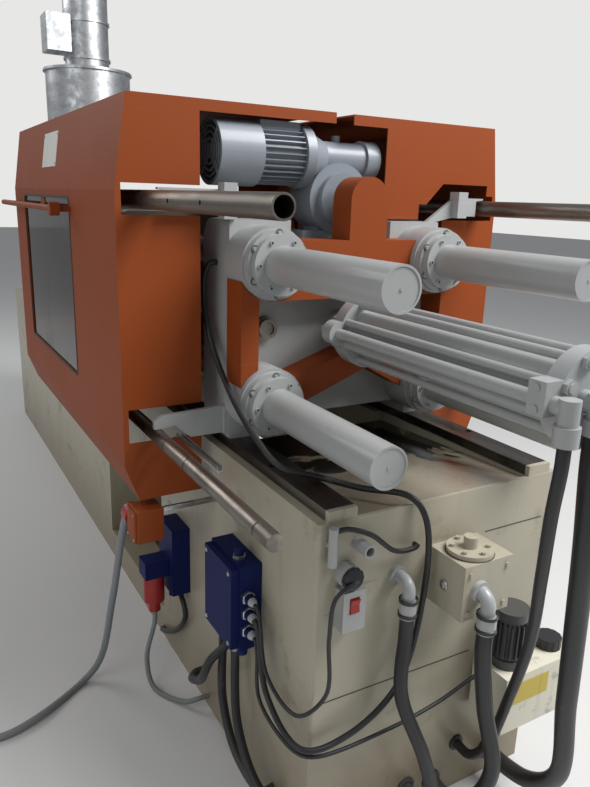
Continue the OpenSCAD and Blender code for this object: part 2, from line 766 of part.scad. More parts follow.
module tail_plate() color(white) {
  difference() {
    union() {
      difference() {
        intersection() {
          yz(tail_x0, tail_x1) plate2d(platen_w, way_top, platen_top, tail_edge_r);
          // Front edge rounded at the top
          xz(-platen_w, platen_w) union() {
            translate([tail_x0 + tail_front_r, platen_top - tail_front_r]) circle(tail_front_r);
            translate([tail_x0 + tail_front_r, way_top - 1])
              square([tail_t - tail_front_r + 1, platen_top - way_top + 2]);
            translate([tail_x0 - 1, way_top - 1])
              square([tail_t, platen_top - tail_front_r - way_top + 1]);
          }
        }
        block([tail_x0 - 1, -way_y + 4, way_top - 1], [tail_x1 + 1, way_y - 4, way_top + 49]);
        block([tail_x0 - 1, -165, axis_z + 235], [tail_x1 + 1, 165, platen_top + 1]);
      }
      for (t = ties) xbar(tail_x1 - 1, boss_x, boss_r, t.x, t.y);
      // Clevis lugs of the fixed toggle pins
      for (s = [-1, 1], t = [-1, 1])
        xz(min(s * lug_y, s * (lug_y + 40)), max(s * lug_y, s * (lug_y + 40)))
          bar2d([pin_a_x, axis_z + t * pivot_dz], [tail_x0 + 10, axis_z + t * pivot_dz], eye_r);
      for (t = [-1, 1])
        ybar(-lug_y - 40, lug_y + 40, pin_r, pin_a_x, axis_z + t * pivot_dz);
      // Rod gland and the pin of the chain's tension wheel
      xbar(tail_x1, tail_x1 + 26, neck_r, 0, axis_z);
      xbar(tail_x1 - 5, tail_x1 + chain_x + 14, 10, wheels[1].x, wheels[1].y);
    }
    tie_holes(tail_x0 - 1, boss_x + 1, tie_r + 0.3);
    for (t = ties) xbar(tail_x1 + 6, boss_x + 1, boss_r - 10, t.x, t.y);
    xbar(tail_x0 - 1, tail_x1 + 30, rod_r + 0.3, 0, axis_z);
    yz(tail_x1 + chain_x - 12, tail_x1 + chain_x + 12) chain_band(16);
    for (s = [-1, 1]) xbar(tail_x0 - 1, tail_x1 + 1, guide_r + run, s * guide_dy, guide_z);
  }
}

// Chain geometry: each wheel is [y, z, radius, sense]
// The two guides over the top band turn the chain up into the tongue
tension_y = 47;
tension_z = 1158;
guide_path_r = 18;
chain_top = axis_z + tie_dz + sprocket_r;
wheels = [[-tie_dy, axis_z - tie_dz, sprocket_r, 1],
          [tension_y, tension_z, idler_r, -1],
          [tie_dy, axis_z - tie_dz, sprocket_r, 1],
          [tie_dy, axis_z + tie_dz, sprocket_r, 1],
          [drive_y + idler_r + guide_path_r, chain_top + guide_path_r, guide_path_r, -1],
          [drive_y, chain_z, idler_r, 1],
          [drive_y - idler_r - guide_path_r, chain_top + guide_path_r, guide_path_r, -1],
          [-tie_dy, axis_z + tie_dz, sprocket_r, 1]];

// Unit vector at an angle
function dir(a) = [cos(a), sin(a)];

// Direction of the tangent's normal between two wheels run one after the other
function normal(a, b) =
  let (d = [b.x - a.x, b.y - a.y], ra = a.z * a[3], rb = b.z * b[3])
  atan2(d.y, d.x) - acos((ra - rb) / norm(d));

// The closed path of the chain's middle line, with arcs on the wheels
function wheel_arc(i) =
  let (n = len(wheels), w = wheels[i], a0 = normal(wheels[(i + n - 1) % n], w),
       a1 = normal(w, wheels[(i + 1) % n]), turn = (a1 - a0 + 720) % 360,
       sweep = w[3] > 0 ? turn : turn - 360)
  [for (k = [0 : 6]) [w.x, w.y] + w.z * w[3] * dir(a0 + sweep * k / 6)];

chain_path = [for (i = [0 : len(wheels) - 1]) each wheel_arc(i)];

// A band of a given thickness along the chain's path
module chain_band(t) {
  n = len(chain_path);
  for (i = [0 : n - 1])
    let (p = chain_path[i], q = chain_path[(i + 1) % n])
      if (norm(q - p) > 0.5) bar2d(p, q, t / 2, $fn = 12);
}

module chain_cover() color(orange) {
  x1 = tail_x1 + chain_cover_l;
  difference() {
    yz(tail_x1, x1) cover2d(0);
    yz(tail_x1 - 1, x1 - chain_sheet) cover2d(chain_sheet);
    for (t = ties) xbar(tail_x1 - 1, x1 + 1, boss_r + 2, t.x, t.y);
  }
  // Fixed guides for the chain
  for (i = [4, 6])
    xbar(tail_x1 + chain_x - 12, x1 - 1, guide_path_r - chain_h / 2 - 0.5, wheels[i].x, wheels[i].y);
}

// Outline of the chain cover, shrunk by a wall
module cover2d(wall) {
  w = wall;
  edge = tie_dy + 83 - w;
  // Top band and tongue
  translate([-tie_dy, axis_z + 85 + w]) square([2 * tie_dy, 153 - 2 * w]);
  translate([drive_y - tongue_r + w, axis_z + 100]) square([2 * tongue_r - 2 * w, drive_up - 100]);
  translate([drive_y, chain_z]) circle(tongue_r - w);
  // Side bands
  for (s = [-1, 1])
    translate([s > 0 ? edge - 50 + 2 * w : -edge, axis_z - tie_dz]) square([50 - 2 * w, 2 * tie_dz]);
  // Lower arch over the tensioner
  polygon([[-tie_dy, axis_z - 150 - w], [tension_y, axis_z - 42 - w], [tie_dy, axis_z - 150 - w],
           [tie_dy, axis_z - 236 + w], [tension_y, axis_z - 116 + w], [-tie_dy, axis_z - 236 + w]]);
}

module tie_bar_covers() color(white) {
  for (t = ties) {
    difference() {
      union() {
        xbar(boss_x, boss_x + flange_t, ring_r, t.x, t.y);
        xbar(boss_x + flange_t, cover_x, flange_r, t.x, t.y);
        xbar(cover_x, cover_x + cover_l, cover_r, t.x, t.y);
        x_ring(boss_x + flange_t, t.x, t.y, ring_r - 9, 6, 30) x_hex(7, 6);
        x_ring(cover_x, t.x, t.y, flange_r - 13, 6) rotate([0, 90, 0]) cylinder(h = 5, r = 5);
      }
      xbar(boss_x - 1, cover_x + cover_l - 8, cover_r - cover_wall, t.x, t.y);
      // Recessed end disc round its centre screw
      difference() {
        xbar(cover_x + cover_l - 2, cover_x + cover_l + 1, cover_r - cover_wall, t.x, t.y);
        xbar(cover_x + cover_l - 3, cover_x + cover_l + 2, 4, t.x, t.y);
      }
    }
  }
}

// Screw nut with its sprocket
module nut_at(i) color(steel) {
  t = ties[i];
  x0 = tail_x1 + 10;
  difference() {
    union() {
      xbar(x0, tail_x1 + chain_x - 10, 56, t.x, t.y);
      xbar(tail_x1 + chain_x - 11, tail_x1 + chain_x + 11, 38, t.x, t.y);
      xbar(tail_x1 + chain_x + 10, boss_x - 2, 56, t.x, t.y);
      toothed(tail_x1 + chain_x - 5, tail_x1 + chain_x + 5, sprocket_r, sprocket_teeth, t.x, t.y);
    }
    xbar(x0 - 1, boss_x, tie_r + run, t.x, t.y);
  }
}

// Toothed wheel along X with a groove between each pair of teeth
module toothed(x0, x1, r, teeth, y, z) {
  difference() {
    xbar(x0, x1, r + 3, y, z);
    x_ring(x0 - 1, y, z, r + 1, teeth) rotate([0, 90, 0]) cylinder(h = x1 - x0 + 2, r = 4.2);
  }
}

module nut_upper_near() nut_at(0);
module nut_upper_far() nut_at(1);
module nut_lower_near() nut_at(2);
module nut_lower_far() nut_at(3);

module drive_sprocket() color(steel) {
  toothed(tail_x1 + chain_x - 5, tail_x1 + chain_x + 5, idler_r, 15, drive_y, chain_z);
  xbar(gear_x1 - 15, tail_x1 + chain_x + 20, 16, drive_y, chain_z);
}

module tension_sprocket() color(steel) {
  w = wheels[1];
  difference() {
    toothed(tail_x1 + chain_x - 5, tail_x1 + chain_x + 5, idler_r, 15, w.x, w.y);
    xbar(tail_x1, tail_x1 + 90, 10 + run, w.x, w.y);
  }
}

module drive_chain() color("#4c4a48") {
  for (s = [-1, 1])
    yz(tail_x1 + chain_x + s * 7 - 1.6, tail_x1 + chain_x + s * 7 + 1.6) chain_band(chain_h);
}

// Gearmotor
motor_cx = tail_x1 - motor_x;
motor_z = chain_z + worm_dz;
gear_x1 = tail_x1 - 62;

module drive_motor() color("#c6ccd2") {
  y0 = -motor_flange_y - fin_l;
  difference() {
    union() {
      ybar(y0, -motor_flange_y, 66, motor_cx, motor_z);
      for (i = [0 : fin_count - 1])
        translate([motor_cx, y0, motor_z]) rotate([-90, 0, 0]) rotate(i * 360 / fin_count)
          translate([60, -1.2, 0]) cube([19, 2.4, fin_l - 12]);
      ybar(-motor_flange_y - 14, -motor_flange_y, cowl_r, motor_cx, motor_z);
      // Terminal box on the motor's top, just under the roof
      block([motor_cx - 42, y0 + 10, motor_z + 55], [motor_cx + 42, -motor_flange_y - 20, motor_z + 84]);
      ybar(y0 - 44, y0, 12, motor_cx, motor_z);
      ybar(y0 - cowl_l, y0 + 6, cowl_r, motor_cx, motor_z);
    }
    // Hollow of the fan cowl with its open grille
    difference() {
      ybar(y0 - cowl_l + 3, y0 - 1, cowl_r - 3, motor_cx, motor_z);
      ybar(y0 - cowl_l - 1, y0 + 1, 12, motor_cx, motor_z);
    }
    for (r = [24, 40, 56, 70])
      difference() {
        ybar(y0 - cowl_l - 1, y0 - cowl_l + 4, r + 5, motor_cx, motor_z);
        ybar(y0 - cowl_l - 2, y0 - cowl_l + 5, r - 5, motor_cx, motor_z);
        for (a = [45, 135])
          translate([motor_cx, y0 - cowl_l, motor_z]) rotate([0, a, 0]) cube([200, 20, 8], center = true);
      }
    ybar(y0 - cowl_l + 12, y0 - 44, 13, motor_cx, motor_z);
  }
}

module motor_fan() color(dark) {
  y0 = -motor_flange_y - fin_l;
  difference() {
    union() {
      ybar(y0 - 60, y0 - 20, 22, motor_cx, motor_z);
      for (i = [0 : 6])
        translate([motor_cx, y0 - 60, motor_z]) rotate([0, i * 360 / 7, 0]) translate([18, 0, -1.5])
          cube([58, 36, 3]);
    }
    ybar(y0 - 61, y0 - 19, 12 + run, motor_cx, motor_z);
  }
}

module worm_gearbox() color("#c3cad1") {
  y1 = 165;
  x1 = gear_x1;
  x0 = x1 - 116;
  difference() {
    union() {
      ybar(-motor_flange_y, -motor_flange_y + 14, cowl_r, motor_cx, motor_z);
      translate([motor_cx, -motor_flange_y + 14, motor_z]) rotate([-90, 0, 0])
        cylinder(h = 58, r1 = 74, r2 = 46);
      ybar(-12, y1 - 44, 46, motor_cx, motor_z);
      ybar(y1 - 44, y1, 54, motor_cx, motor_z);
      xbar(x0, x1, wheel_r, drive_y, chain_z);
      xbar(x1, x1 + 20, wheel_r - 26, drive_y, chain_z);
      // Foot on the tail plate and breather on top
      block([x0 + 4, -90, axis_z + 235], [x1 - 4, 120, axis_z + 255]);
      block([x0 + 20, drive_y - 60, axis_z + 250], [x1 - 20, drive_y + 60, chain_z]);
      zbar(motor_z + 40, motor_z + 62, 12, motor_cx, 40);
    }
    xbar(x1 - 20, x1 + 30, 16 + run, drive_y, chain_z);
  }
}

pipe_y = -98;
pipe_dz = 2;
ear_x = 40;
rod_ring = head_r - 16;

module clamp_cylinder() color(white) {
  x0 = tail_x1 + head_gap;
  x1 = x0 + cyl_l;
  difference() {
    union() {
      // Spacer neck between the gland and the front head
      xbar(tail_x1 + 26, x0, neck_r, 0, axis_z);
      xbar(x0, x0 + head_t, head_r, 0, axis_z);
      xbar(x0 + head_t - 1, x1 - head_t + 1, cyl_bore_r + cyl_wall, 0, axis_z);
      xbar(x1 - head_t, x1, head_r, 0, axis_z);
      // Ears that hold the oil pipe
      xbar(x0, x0 + head_t, 32, pipe_y, axis_z + pipe_dz);
      block([x1 - ear_x, pipe_y - 32, axis_z - 20], [x1, pipe_y + 30, axis_z + 45]);
      for (z = [-8, 32]) ybar(pipe_y - 35, pipe_y - 32, 7, x1 - ear_x / 2, axis_z + z);
      x_ring(x0 - 16, 0, axis_z, rod_ring, cyl_rods, 180 / cyl_rods) xbar(0, cyl_l + 29, cyl_rod_r, 0, 0);
      x_ring(x0 - 11, 0, axis_z, rod_ring, cyl_rods, 180 / cyl_rods) x_hex(11, 17);
      x_ring(x1, 0, axis_z, rod_ring, cyl_rods, 180 / cyl_rods) x_hex(10, 17);
    }
    xbar(tail_x1 + 25, x0 + head_t + 1, rod_r + 0.3, 0, axis_z);
    xbar(x0 + head_t, x1 - head_t, cyl_bore_r, 0, axis_z);
  }
}

thin_x = 32;
thick_x = 38;
thick_y = -25;

module cylinder_fittings() color("#d4d6d6") {
  x0 = tail_x1 + head_gap;
  x1 = x0 + cyl_l;
  pz = axis_z + pipe_dz;
  // Oil pipe between the ears, with its nut and end cone in front of the front ear
  translate([x0 - 46, pipe_y, pz]) rotate([0, 90, 0]) cylinder(h = 30, r1 = 8, r2 = 17);
  translate([x0 - 18, pipe_y, pz]) x_hex(18, 20);
  xbar(x0 + head_t, x1 - ear_x, oil_pipe_r, pipe_y, pz);
  // Elbow behind the rear ear, down to the thin hose
  xbar(x1, x1 + thin_x, 17, pipe_y - 4, pz);
  zbar(pz - 40, pz + 18, 19, x1 + thin_x, pipe_y - 4);
  zbar(pz - 67, pz - 30, 24, x1 + thin_x, pipe_y - 4);
  // Elbow behind the rear head, down to the thick hose
  xbar(x1, x1 + thick_x, 22, thick_y, axis_z);
  zbar(axis_z - 40, axis_z + 22, 24, x1 + thick_x, thick_y);
  zbar(axis_z - 54, axis_z - 24, 30, x1 + thick_x, thick_y);
}

module crosshead_guides() color(steel) {
  for (s = [-1, 1]) {
    xbar(cross_x - cross_half - 10, tail_x1, guide_r, s * guide_dy, guide_z);
    // Round cap nut on the plate's rear
    xbar(tail_x1, tail_x1 + 12, 32, s * guide_dy, guide_z);
    difference() {
      xbar(tail_x1 + 12, tail_x1 + 26, 27, s * guide_dy, guide_z);
      xbar(tail_x1 + 20, tail_x1 + 27, 18, s * guide_dy, guide_z);
    }
  }
}

bracket_t = 14;
post_w = 36;
near_post = platen_w / 2 - 15;
far_post = platen_w / 2 + 60;

module bar_brackets() color(white) {
  x0 = tail_x1 - 25;
  half = platen_w / 2;
  for (s = [-1, 1]) scale([1, s, 1]) {
    // Upper bracket: a post with a web and a strip over the bar
    // The far post stands further out on a brace
    post = s < 0 ? near_post : far_post;
    low = s < 0 ? platen_top : platen_top + 13;
    block([x0, post, low], [x0 + 40, post + post_w, bar_up_z + 47]);
    yz(x0, x0 + bracket_t) {
      if (s > 0)
        polygon([[half - 36, platen_top], [half - 4, platen_top], [post + 1, low],
                 [post + 1, bar_up_z + 24]]);
      polygon([[post + post_w - 1, bar_up_z + 30], [bar_y - 12, bar_up_z + 30], [bar_y - 12, bar_up_z + 25],
               [bar_y - 40, bar_up_z + 22], [bar_y - 40, bar_up_z - 24],
               [post + post_w - 1, bar_up_z - 24]]);
    }
    // Lower bracket: plate with a narrow tip over the lower bar
    block([x0, half, bar_low_z - 14], [tail_x1 - 1.2, half + 12, bar_low_z + 62]);
    yz(x0, x0 + bracket_t)
      polygon([[half + 11, bar_low_z + 62], [bar_y - 12, bar_low_z + 54], [bar_y + 10, bar_low_z + 40],
               [bar_y + 10, bar_low_z + bar_low_r + 0.3], [bar_y - 10, bar_low_z + bar_low_r + 0.3],
               [bar_y - 45, bar_low_z + 25], [half + 106, bar_low_z - 14], [half + 11, bar_low_z - 14]]);
  }
}

// Toggle linkage. Side is 1 for the upper half and -1 for the lower half.
function pin_a(side) = [pin_a_x, axis_z + side * pivot_dz];
function knee(side) = pin_a(side) - [link_l, 0];
function pin_b(side) = pin_a(side) - [2 * link_l, 0];
function lug(side) = pin_a(side) + lug_l * [-cos(lug_angle), side * sin(lug_angle)];
function cross_pin(side) = [cross_x, axis_z + side * pivot_dz];

module rear_link(side) color("#7f8387") {
  for (s = [-1, 1])
    xz(min(s * plate_y, s * rear_y), max(s * plate_y, s * rear_y)) difference() {
      union() {
        bar2d(knee(side), pin_a(side), eye_r);
        bar2d(lug(side), pin_a(side), small_eye_r);
        bar2d(lug(side), knee(side), small_eye_r);
      }
      translate(pin_a(side)) circle(pin_r + run);
    }
  // Knee pin stubs on both outer faces and the lug pin, pressed in
  for (s = [-1, 1])
    ybar(min(s * plate_y, s * front_y1), max(s * plate_y, s * front_y1), pin_r, knee(side).x, knee(side).y);
  ybar(-rear_y, rear_y, small_pin_r, lug(side).x, lug(side).y);
}

module front_link(side) color("#74787c") {
  for (s = [-1, 1])
    xz(min(s * front_y, s * front_y1), max(s * front_y, s * front_y1)) difference() {
      bar2d(pin_b(side), knee(side), eye_r - 2);
      translate(pin_b(side)) circle(pin_r + run);
      translate(knee(side)) circle(pin_r + run);
    }
}

module crosshead_link(side) color("#868a8e") {
  xz(-40, 40) difference() {
    bar2d(cross_pin(side), lug(side), small_eye_r - 2);
    translate(cross_pin(side)) circle(small_pin_r + run);
    translate(lug(side)) circle(small_pin_r + run);
  }
}

module rear_link_upper() rear_link(1);
module rear_link_lower() rear_link(-1);
module front_link_upper() front_link(1);
module front_link_lower() front_link(-1);
module crosshead_link_upper() crosshead_link(1);
module crosshead_link_lower() crosshead_link(-1);

module crosshead() color("#9b978c") {
  difference() {
    union() {
      block([cross_x - cross_half, -guide_dy - 42, axis_z - 34],
            [cross_x + cross_half, guide_dy + 42, axis_z + 48]);
      // Cheeks on each side of the links
      for (s = [-1, 1])
        xz(min(s * 46, s * 84), max(s * 46, s * 84))
          bar2d([cross_x, axis_z - pivot_dz], [cross_x, axis_z + pivot_dz], small_eye_r);
      for (t = [-1, 1]) ybar(-84, 84, small_pin_r, cross_x, axis_z + t * pivot_dz);
    }
    for (s = [-1, 1]) xbar(cross_x - 60, cross_x + 60, guide_r + run, s * guide_dy, guide_z);
    xbar(cross_x - 60, cross_x + 60, rod_r - 6 + run, 0, axis_z);
  }
}

module piston_rod() color("#c9ccce") {
  piston_x = tail_x1 + head_gap + head_t + 30;
  xbar(cross_x - cross_half - 26, cross_x + cross_half, rod_r - 6, 0, axis_z);
  xbar(cross_x + cross_half, piston_x, rod_r, 0, axis_z);
  xbar(piston_x, piston_x + 50, cyl_bore_r - 0.3, 0, axis_z);
  translate([cross_x - cross_half - 26, 0, axis_z]) x_hex(26, 36);
}

moving_x0 = mould_face_x + mould_h;
moving_x1 = moving_x0 + moving_t;

module moving_platen() color(cream) {
  difference() {
    union() {
      yz(moving_x0, moving_x1) plate2d(platen_w - 10, way_top + 14, axis_z + platen_up - 6, platen_r);
      // Slide shoes on the slideways
      for (s = [-1, 1])
        block([moving_x0 - 10, s * (way_y + way_w / 2) - 32, way_top + 0.3],
              [moving_x1 + 90, s * (way_y + way_w / 2) + 32, way_top + 60]);
      for (s = [-1, 1], t = [-1, 1])
        xz(min(s * plate_y, s * rear_y), max(s * plate_y, s * rear_y))
          bar2d(pin_b(t), [moving_x1 - 10, axis_z + t * pivot_dz], eye_r);
      for (t = [-1, 1]) ybar(-front_y1, front_y1, pin_r, pin_b(t).x, pin_b(t).y);
    }
    tie_holes(moving_x0 - 11, moving_x1 + 100, tie_r + 0.3);
    for (s = [-1, 1]) xbar(moving_x0 - 1, moving_x1 + 1, guide_r + 8, s * guide_dy, guide_z);
    xbar(moving_x0 - 1, moving_x1 + 1, 16.3, 0, axis_z);
    for (y = [-140, -70, 70, 140], z = [-110, 110])
      xbar(moving_x0 - 1, moving_x0 + 40, 8, y, axis_z + z);
  }
}

module ejector() color(steel) {
  // Knock-out rod through the platen with its cross plate behind
  xbar(moving_x0 + 30, moving_x1 + 96, 16, 0, axis_z);
  block([moving_x1 + 60, -50, axis_z - 50], [moving_x1 + 78, 50, axis_z + 50]);
}

win_x0 = gate_end - 1270;
win_x1 = gate_end - 500;
win_z0 = axis_z - 224;
win_z1 = axis_z + 320;
pane_x0 = win_x0 - 20;
pane_x1 = win_x1 + 20;
pane_z0 = win_z0 - 20;
pane_z1 = crease_z - 8;
handle_z = axis_z + 290;

// Gates. Side is -1 for the near gate and 1 for the far gate.
module gate(side, roof_y) color(orange) {
  y = gate_y;
  x0 = gate_end - gate_l;
  t = sheet;
  scale([1, side, 1]) difference() {
    union() {
      difference() {
        yz(x0, gate_end) {
          polygon([[roof_y, gate_top], [y - 34, gate_top], [y, crease_z], [y, low_crease_z],
                   [y - 38, gate_low], [y - 80, gate_low], [y - 80, gate_low + t],
                   [y - 38 - t, gate_low + t], [y - t, low_crease_z + 1], [y - t, crease_z - 1],
                   [y - 34 - t, gate_top - t], [roof_y, gate_top - t]]);
        }
        // Window with round corners
        xz(y - 60, y + 10) translate([(win_x0 + win_x1) / 2, 0])
          plate2d(win_x1 - win_x0, win_z0, win_z1, 18);
      }
      yz(x0, x0 + t) end_face(y, roof_y, false);
      yz(gate_end - t, gate_end) end_face(y, roof_y, roof_y > 50);
      // Blocks that slide on the guard bars
      difference() {
        for (x = [x0 + 120, x0 + 540], z = [bar_up_z, bar_low_z])
          block([x, bar_y - 36, z - 33], [x + 70, y - 2, z + 33]);
        block([pane_x0 - 0.4, y - t - pane_t - 0.4, pane_z0 - 0.4], [pane_x1 + 0.4, y - t, pane_z1 + 0.4]);
      }
      // Handle rod with its two stand-offs and its end knob
      if (side < 0) {
        xbar(x0 - 40, win_x1 + 24, 10, y + 42, handle_z);
        for (x = [win_x0 - 90, win_x1 + 14]) ybar(y - 2, y + 42, 9, x, handle_z);
        ybar(y + 34, y + 62, 20, win_x1 + 24, handle_z);
      }
    }
    for (z = [bar_up_z, bar_low_z])
      xbar(x0 - 1, x0 + 900, (z == bar_up_z ? bar_up_r : bar_low_r) + 0.3, bar_y, z);
  }
}

slot_y = bar_y + 66;
inner_y = 173;
inner_z = platen_top + 5;

// End face of a gate, with its two slots for the bar brackets
// A face with an inner part reaches towards the gearbox and is cut back over the bracket's post
module end_face(y, roof_y, inner) {
  difference() {
    union() {
      polygon([[face_y, gate_top - 1], [y - 34 - 1, gate_top - 1], [y - 1, crease_z], [y - 1, low_crease_z],
               [y - 38 - 1, gate_low + 1], [face_y, gate_low + 1]]);
      translate([roof_y, gate_top - lip_h]) square([y - 60 - roof_y, lip_h - 1]);
      if (inner) translate([inner_y, inner_z]) square([y - 60 - inner_y, gate_top - 1 - inner_z]);
    }
    translate([face_y - 1, bar_up_z - 37]) square([slot_y - face_y + 1, 75]);
    translate([face_y - 1, bar_low_z - 24]) square([slot_y - face_y + 1, 92]);
    if (inner)
      polygon([[far_post - 98, inner_z - 1], [far_post - 98, bar_up_z + 8], [far_post - 70, bar_up_z + 8],
               [far_post - 8, bar_up_z + 70], [bar_y + 38, bar_up_z + 70], [bar_y + 38, inner_z - 1]]);
  }
}

module near_gate() gate(-1, 3);
module far_gate() gate(1, 56);

module window(side) color("#3a3230") {
  y = side * (gate_y - sheet - pane_t);
  block([pane_x0, min(y, y + side * pane_t), pane_z0], [pane_x1, max(y, y + side * pane_t), pane_z1]);
}

module near_window() window(-1);
module far_window() window(1);

// Hoses and cables
// A tube of eight sides swept through a list of points
module tube(points, r, sides = 8) {
  n = len(points);
  function tangent(i) =
    let (v = points[min(i + 1, n - 1)] - points[max(i - 1, 0)]) v / norm(v);
  function side_dir(i) =
    let (t = tangent(i), up = abs(t.z) > 0.8 ? [0, 1, 0] : [0, 0, 1], s = cross(t, up)) s / norm(s);
  rings = [for (i = [0 : n - 1])
    let (t = tangent(i), s = side_dir(i), u = cross(s, t))
    for (k = [0 : sides - 1]) points[i] + r * (cos(360 * k / sides) * s + sin(360 * k / sides) * u)];
  polyhedron(points = rings, faces = concat(
    [[for (k = [0 : sides - 1]) k]],
    [for (i = [0 : n - 2], k = [0 : sides - 1])
      [i * sides + k, (i + 1) * sides + k, (i + 1) * sides + (k + 1) % sides]],
    [for (i = [0 : n - 2], k = [0 : sides - 1])
      [i * sides + k, (i + 1) * sides + (k + 1) % sides, i * sides + (k + 1) % sides]],
    [[for (k = [sides - 1 : -1 : 0]) (n - 1) * sides + k]]));
}

return_hose_near = [[2102, -148, 654], [2102, -148, 600], [2120, -162, 460], [2160, -110, 290],
                    [2150, -60, 130], [2090, -60, 80], [2050, -60, 80]];
return_hose_far = [[2208, -2, 633], [2208, -2, 580], [2210, 24, 420], [2225, 60, 220], [2180, 45, 100],
                   [2110, 30, 60], [2050, 30, 60]];
clamp_hose_thin = [[2424, -102, 1175], [2424, -102, 1130], [2410, -92, 1035], [2375, -50, 875],
                   [2300, 40, 655], [2225, 92, 440], [2150, 110, 210], [2100, 110, 150], [2050, 110, 150]];
clamp_hose_thick = [[2430, -25, 1186], [2430, -25, 1135], [2424, 0, 955], [2396, 50, 775],
                    [2360, 115, 505], [2315, 190, 230], [2200, 230, 100], [2110, 230, 80], [2050, 230, 80]];
drain_hose = [[2066, -329, 896], [2066, -305, 896], [2078, -250, 876], [2078, -180, 820], [2072, -125, 808],
              [2062, -100, 806], [2050, -100, 806]];

module return_hoses() color(dark) {
  tube(return_hose_near, 17);
  tube(return_hose_far, 20);
  tube(drain_hose, 6, 6);
}

module clamp_hoses() color(dark) {
  tube(clamp_hose_thin, 13);
  tube(clamp_hose_thick, 23);
}

conduit_front = [[1640, gland_y, 424], [1640, gland_y, 380], [1680, -425, 220], [1780, -425, 110],
                 [1880, -400, 70], [1880, -bed_y, 70]];
conduit_rear = [[1720, gland_y, 424], [1720, gland_y, 380], [1790, -432, 230], [1900, -430, 130],
                [2000, -400, 90], [2000, -bed_y, 90]];
conduit_side = [[1680, gland_y, 424], [1680, gland_y - 6, 398], [1672, -456, 360], [1640, -462, 300],
                [1550, -440, 200], [1430, -420, 120], [1400, -392, 110], [1400, -bed_y, 110]];
loop_cable = [[1050, -bed_y, 318], [1050, -379, 318], [1095, -382, 316], [1210, -382, 310], [1280, -382, 250],
              [1210, -382, 150], [1080, -382, 60], [1030, -379, 40], [1030, -bed_y, 40]];
guard_cable = [[1450, -344.3, 1410], [1450, -362, 1410], [1440, -374, 1380], [1440, -376, 1300],
               [1490, -376, 1200], [1620, -376, 1085], [1770, -374, 1010], [1845, -350, 968],
               [1890, -275, 946], [1955, -195, 928], [2048, -120, 928], [2074, -92, 880], [2082, -84, 700],
               [2086, -150, 450], [2082, -290, 360], [2060, -395, 350], [1900, -405, 390],
               [1850, gland_y, 550], [1836, gland_y, 560], [1816, gland_y, 560]];
tank_cable = [[2095, 130, 395], [2095, 104, 395], [2085, 0, 352], [2085, -160, 332], [2075, -372, 332],
              [2040, -402, 332], [1868, -408, 352], [1848, gland_y, 480], [1836, gland_y, 510],
              [1816, gland_y, 510]];
plug_cable = [[2080, plug_y, plug_z], [2096, plug_y, plug_z], [2096, -345, 755], [2086, -352, 650],
              [2084, -352, 500], [2040, -398, 430], [1905, -408, 450], [1856, gland_y, 590],
              [1838, gland_y, 605], [1816, gland_y, 605]];

module black_cables() color(dark) {
  for (path = [conduit_front, conduit_rear, conduit_side]) tube(path, 12);
  tube(loop_cable, 9, 6);
  tube(guard_cable, 7.5);
  for (path = [tank_cable, plug_cable]) tube(path, 5, 6);
}

floor_cable = [[1352, -572, 690], [1328, -572, 690], [1285, -580, 600], [1225, -605, 340],
               [1150, -640, 70], [1150, -690, 14], [1260, -860, 14], [1290, -960, 12],
               [1275, -1040, 14], [1270, -1080, 29], [1270, -1110, 29]];
side_cable = [[1228, -470, 262], [1228, -470, 220], [1225, -500, 80], [1290, -500, 14],
              [1400, -440, 14], [1440, -405, 40], [1440, -bed_y, 40]];

module grey_cables() color("#77797b") {
  tube(floor_cable, 11);
  tube(side_cable, 8);
}

bed();
drip_deck();
slideways();
fixed_platen();
tie_bars();
platen_nuts();
guard_bars();
suction_box();
switch_box();
rocker_switch();
outlet_elbows();
lubrication_tank();
lubrication_motor();
tank_cap();
junction_boxes();
limit_switch_box();
red_plugs();
injection_rods();
carriage();
barrel();
hopper();
hopper_slide();
hopper_loader();
screw();
injection_beam();
tail_plate();
chain_cover();
tie_bar_covers();
drive_motor();
motor_fan();
worm_gearbox();
clamp_cylinder();
cylinder_fittings();
crosshead_guides();
bar_brackets();
nut_upper_near();
nut_upper_far();
nut_lower_near();
nut_lower_far();
drive_sprocket();
tension_sprocket();
drive_chain();
rear_link_upper();
rear_link_lower();
front_link_upper();
front_link_lower();
crosshead_link_upper();
crosshead_link_lower();
crosshead();
piston_rod();
moving_platen();
ejector();
near_gate();
near_window();
far_gate();
far_window();
return_hoses();
clamp_hoses();
black_cables();
grey_cables();
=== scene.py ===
"""Looks of a horizontal injection moulding machine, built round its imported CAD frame."""

import logging
import math
from dataclasses import dataclass, field
from enum import Enum
from typing import Optional, Sequence, Union

import bmesh
import bpy
import numpy as np
from bpy.types import Material, Node, NodeSocket, NodeTree, Object
from mathutils import Matrix


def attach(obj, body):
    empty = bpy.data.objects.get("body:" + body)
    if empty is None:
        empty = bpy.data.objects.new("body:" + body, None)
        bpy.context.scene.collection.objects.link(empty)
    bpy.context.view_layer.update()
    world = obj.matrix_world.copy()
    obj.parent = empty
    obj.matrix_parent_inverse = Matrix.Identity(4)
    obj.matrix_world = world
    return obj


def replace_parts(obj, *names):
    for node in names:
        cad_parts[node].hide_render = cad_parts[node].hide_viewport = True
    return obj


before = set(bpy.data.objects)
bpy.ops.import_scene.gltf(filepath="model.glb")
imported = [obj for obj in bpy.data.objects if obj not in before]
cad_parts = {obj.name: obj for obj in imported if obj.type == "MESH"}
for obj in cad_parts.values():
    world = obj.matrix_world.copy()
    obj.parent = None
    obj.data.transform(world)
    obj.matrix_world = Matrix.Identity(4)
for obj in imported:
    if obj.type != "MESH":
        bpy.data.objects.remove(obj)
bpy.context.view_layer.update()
LOG = logging.getLogger("moulding_machine")
Vec3 = tuple[float, float, float]
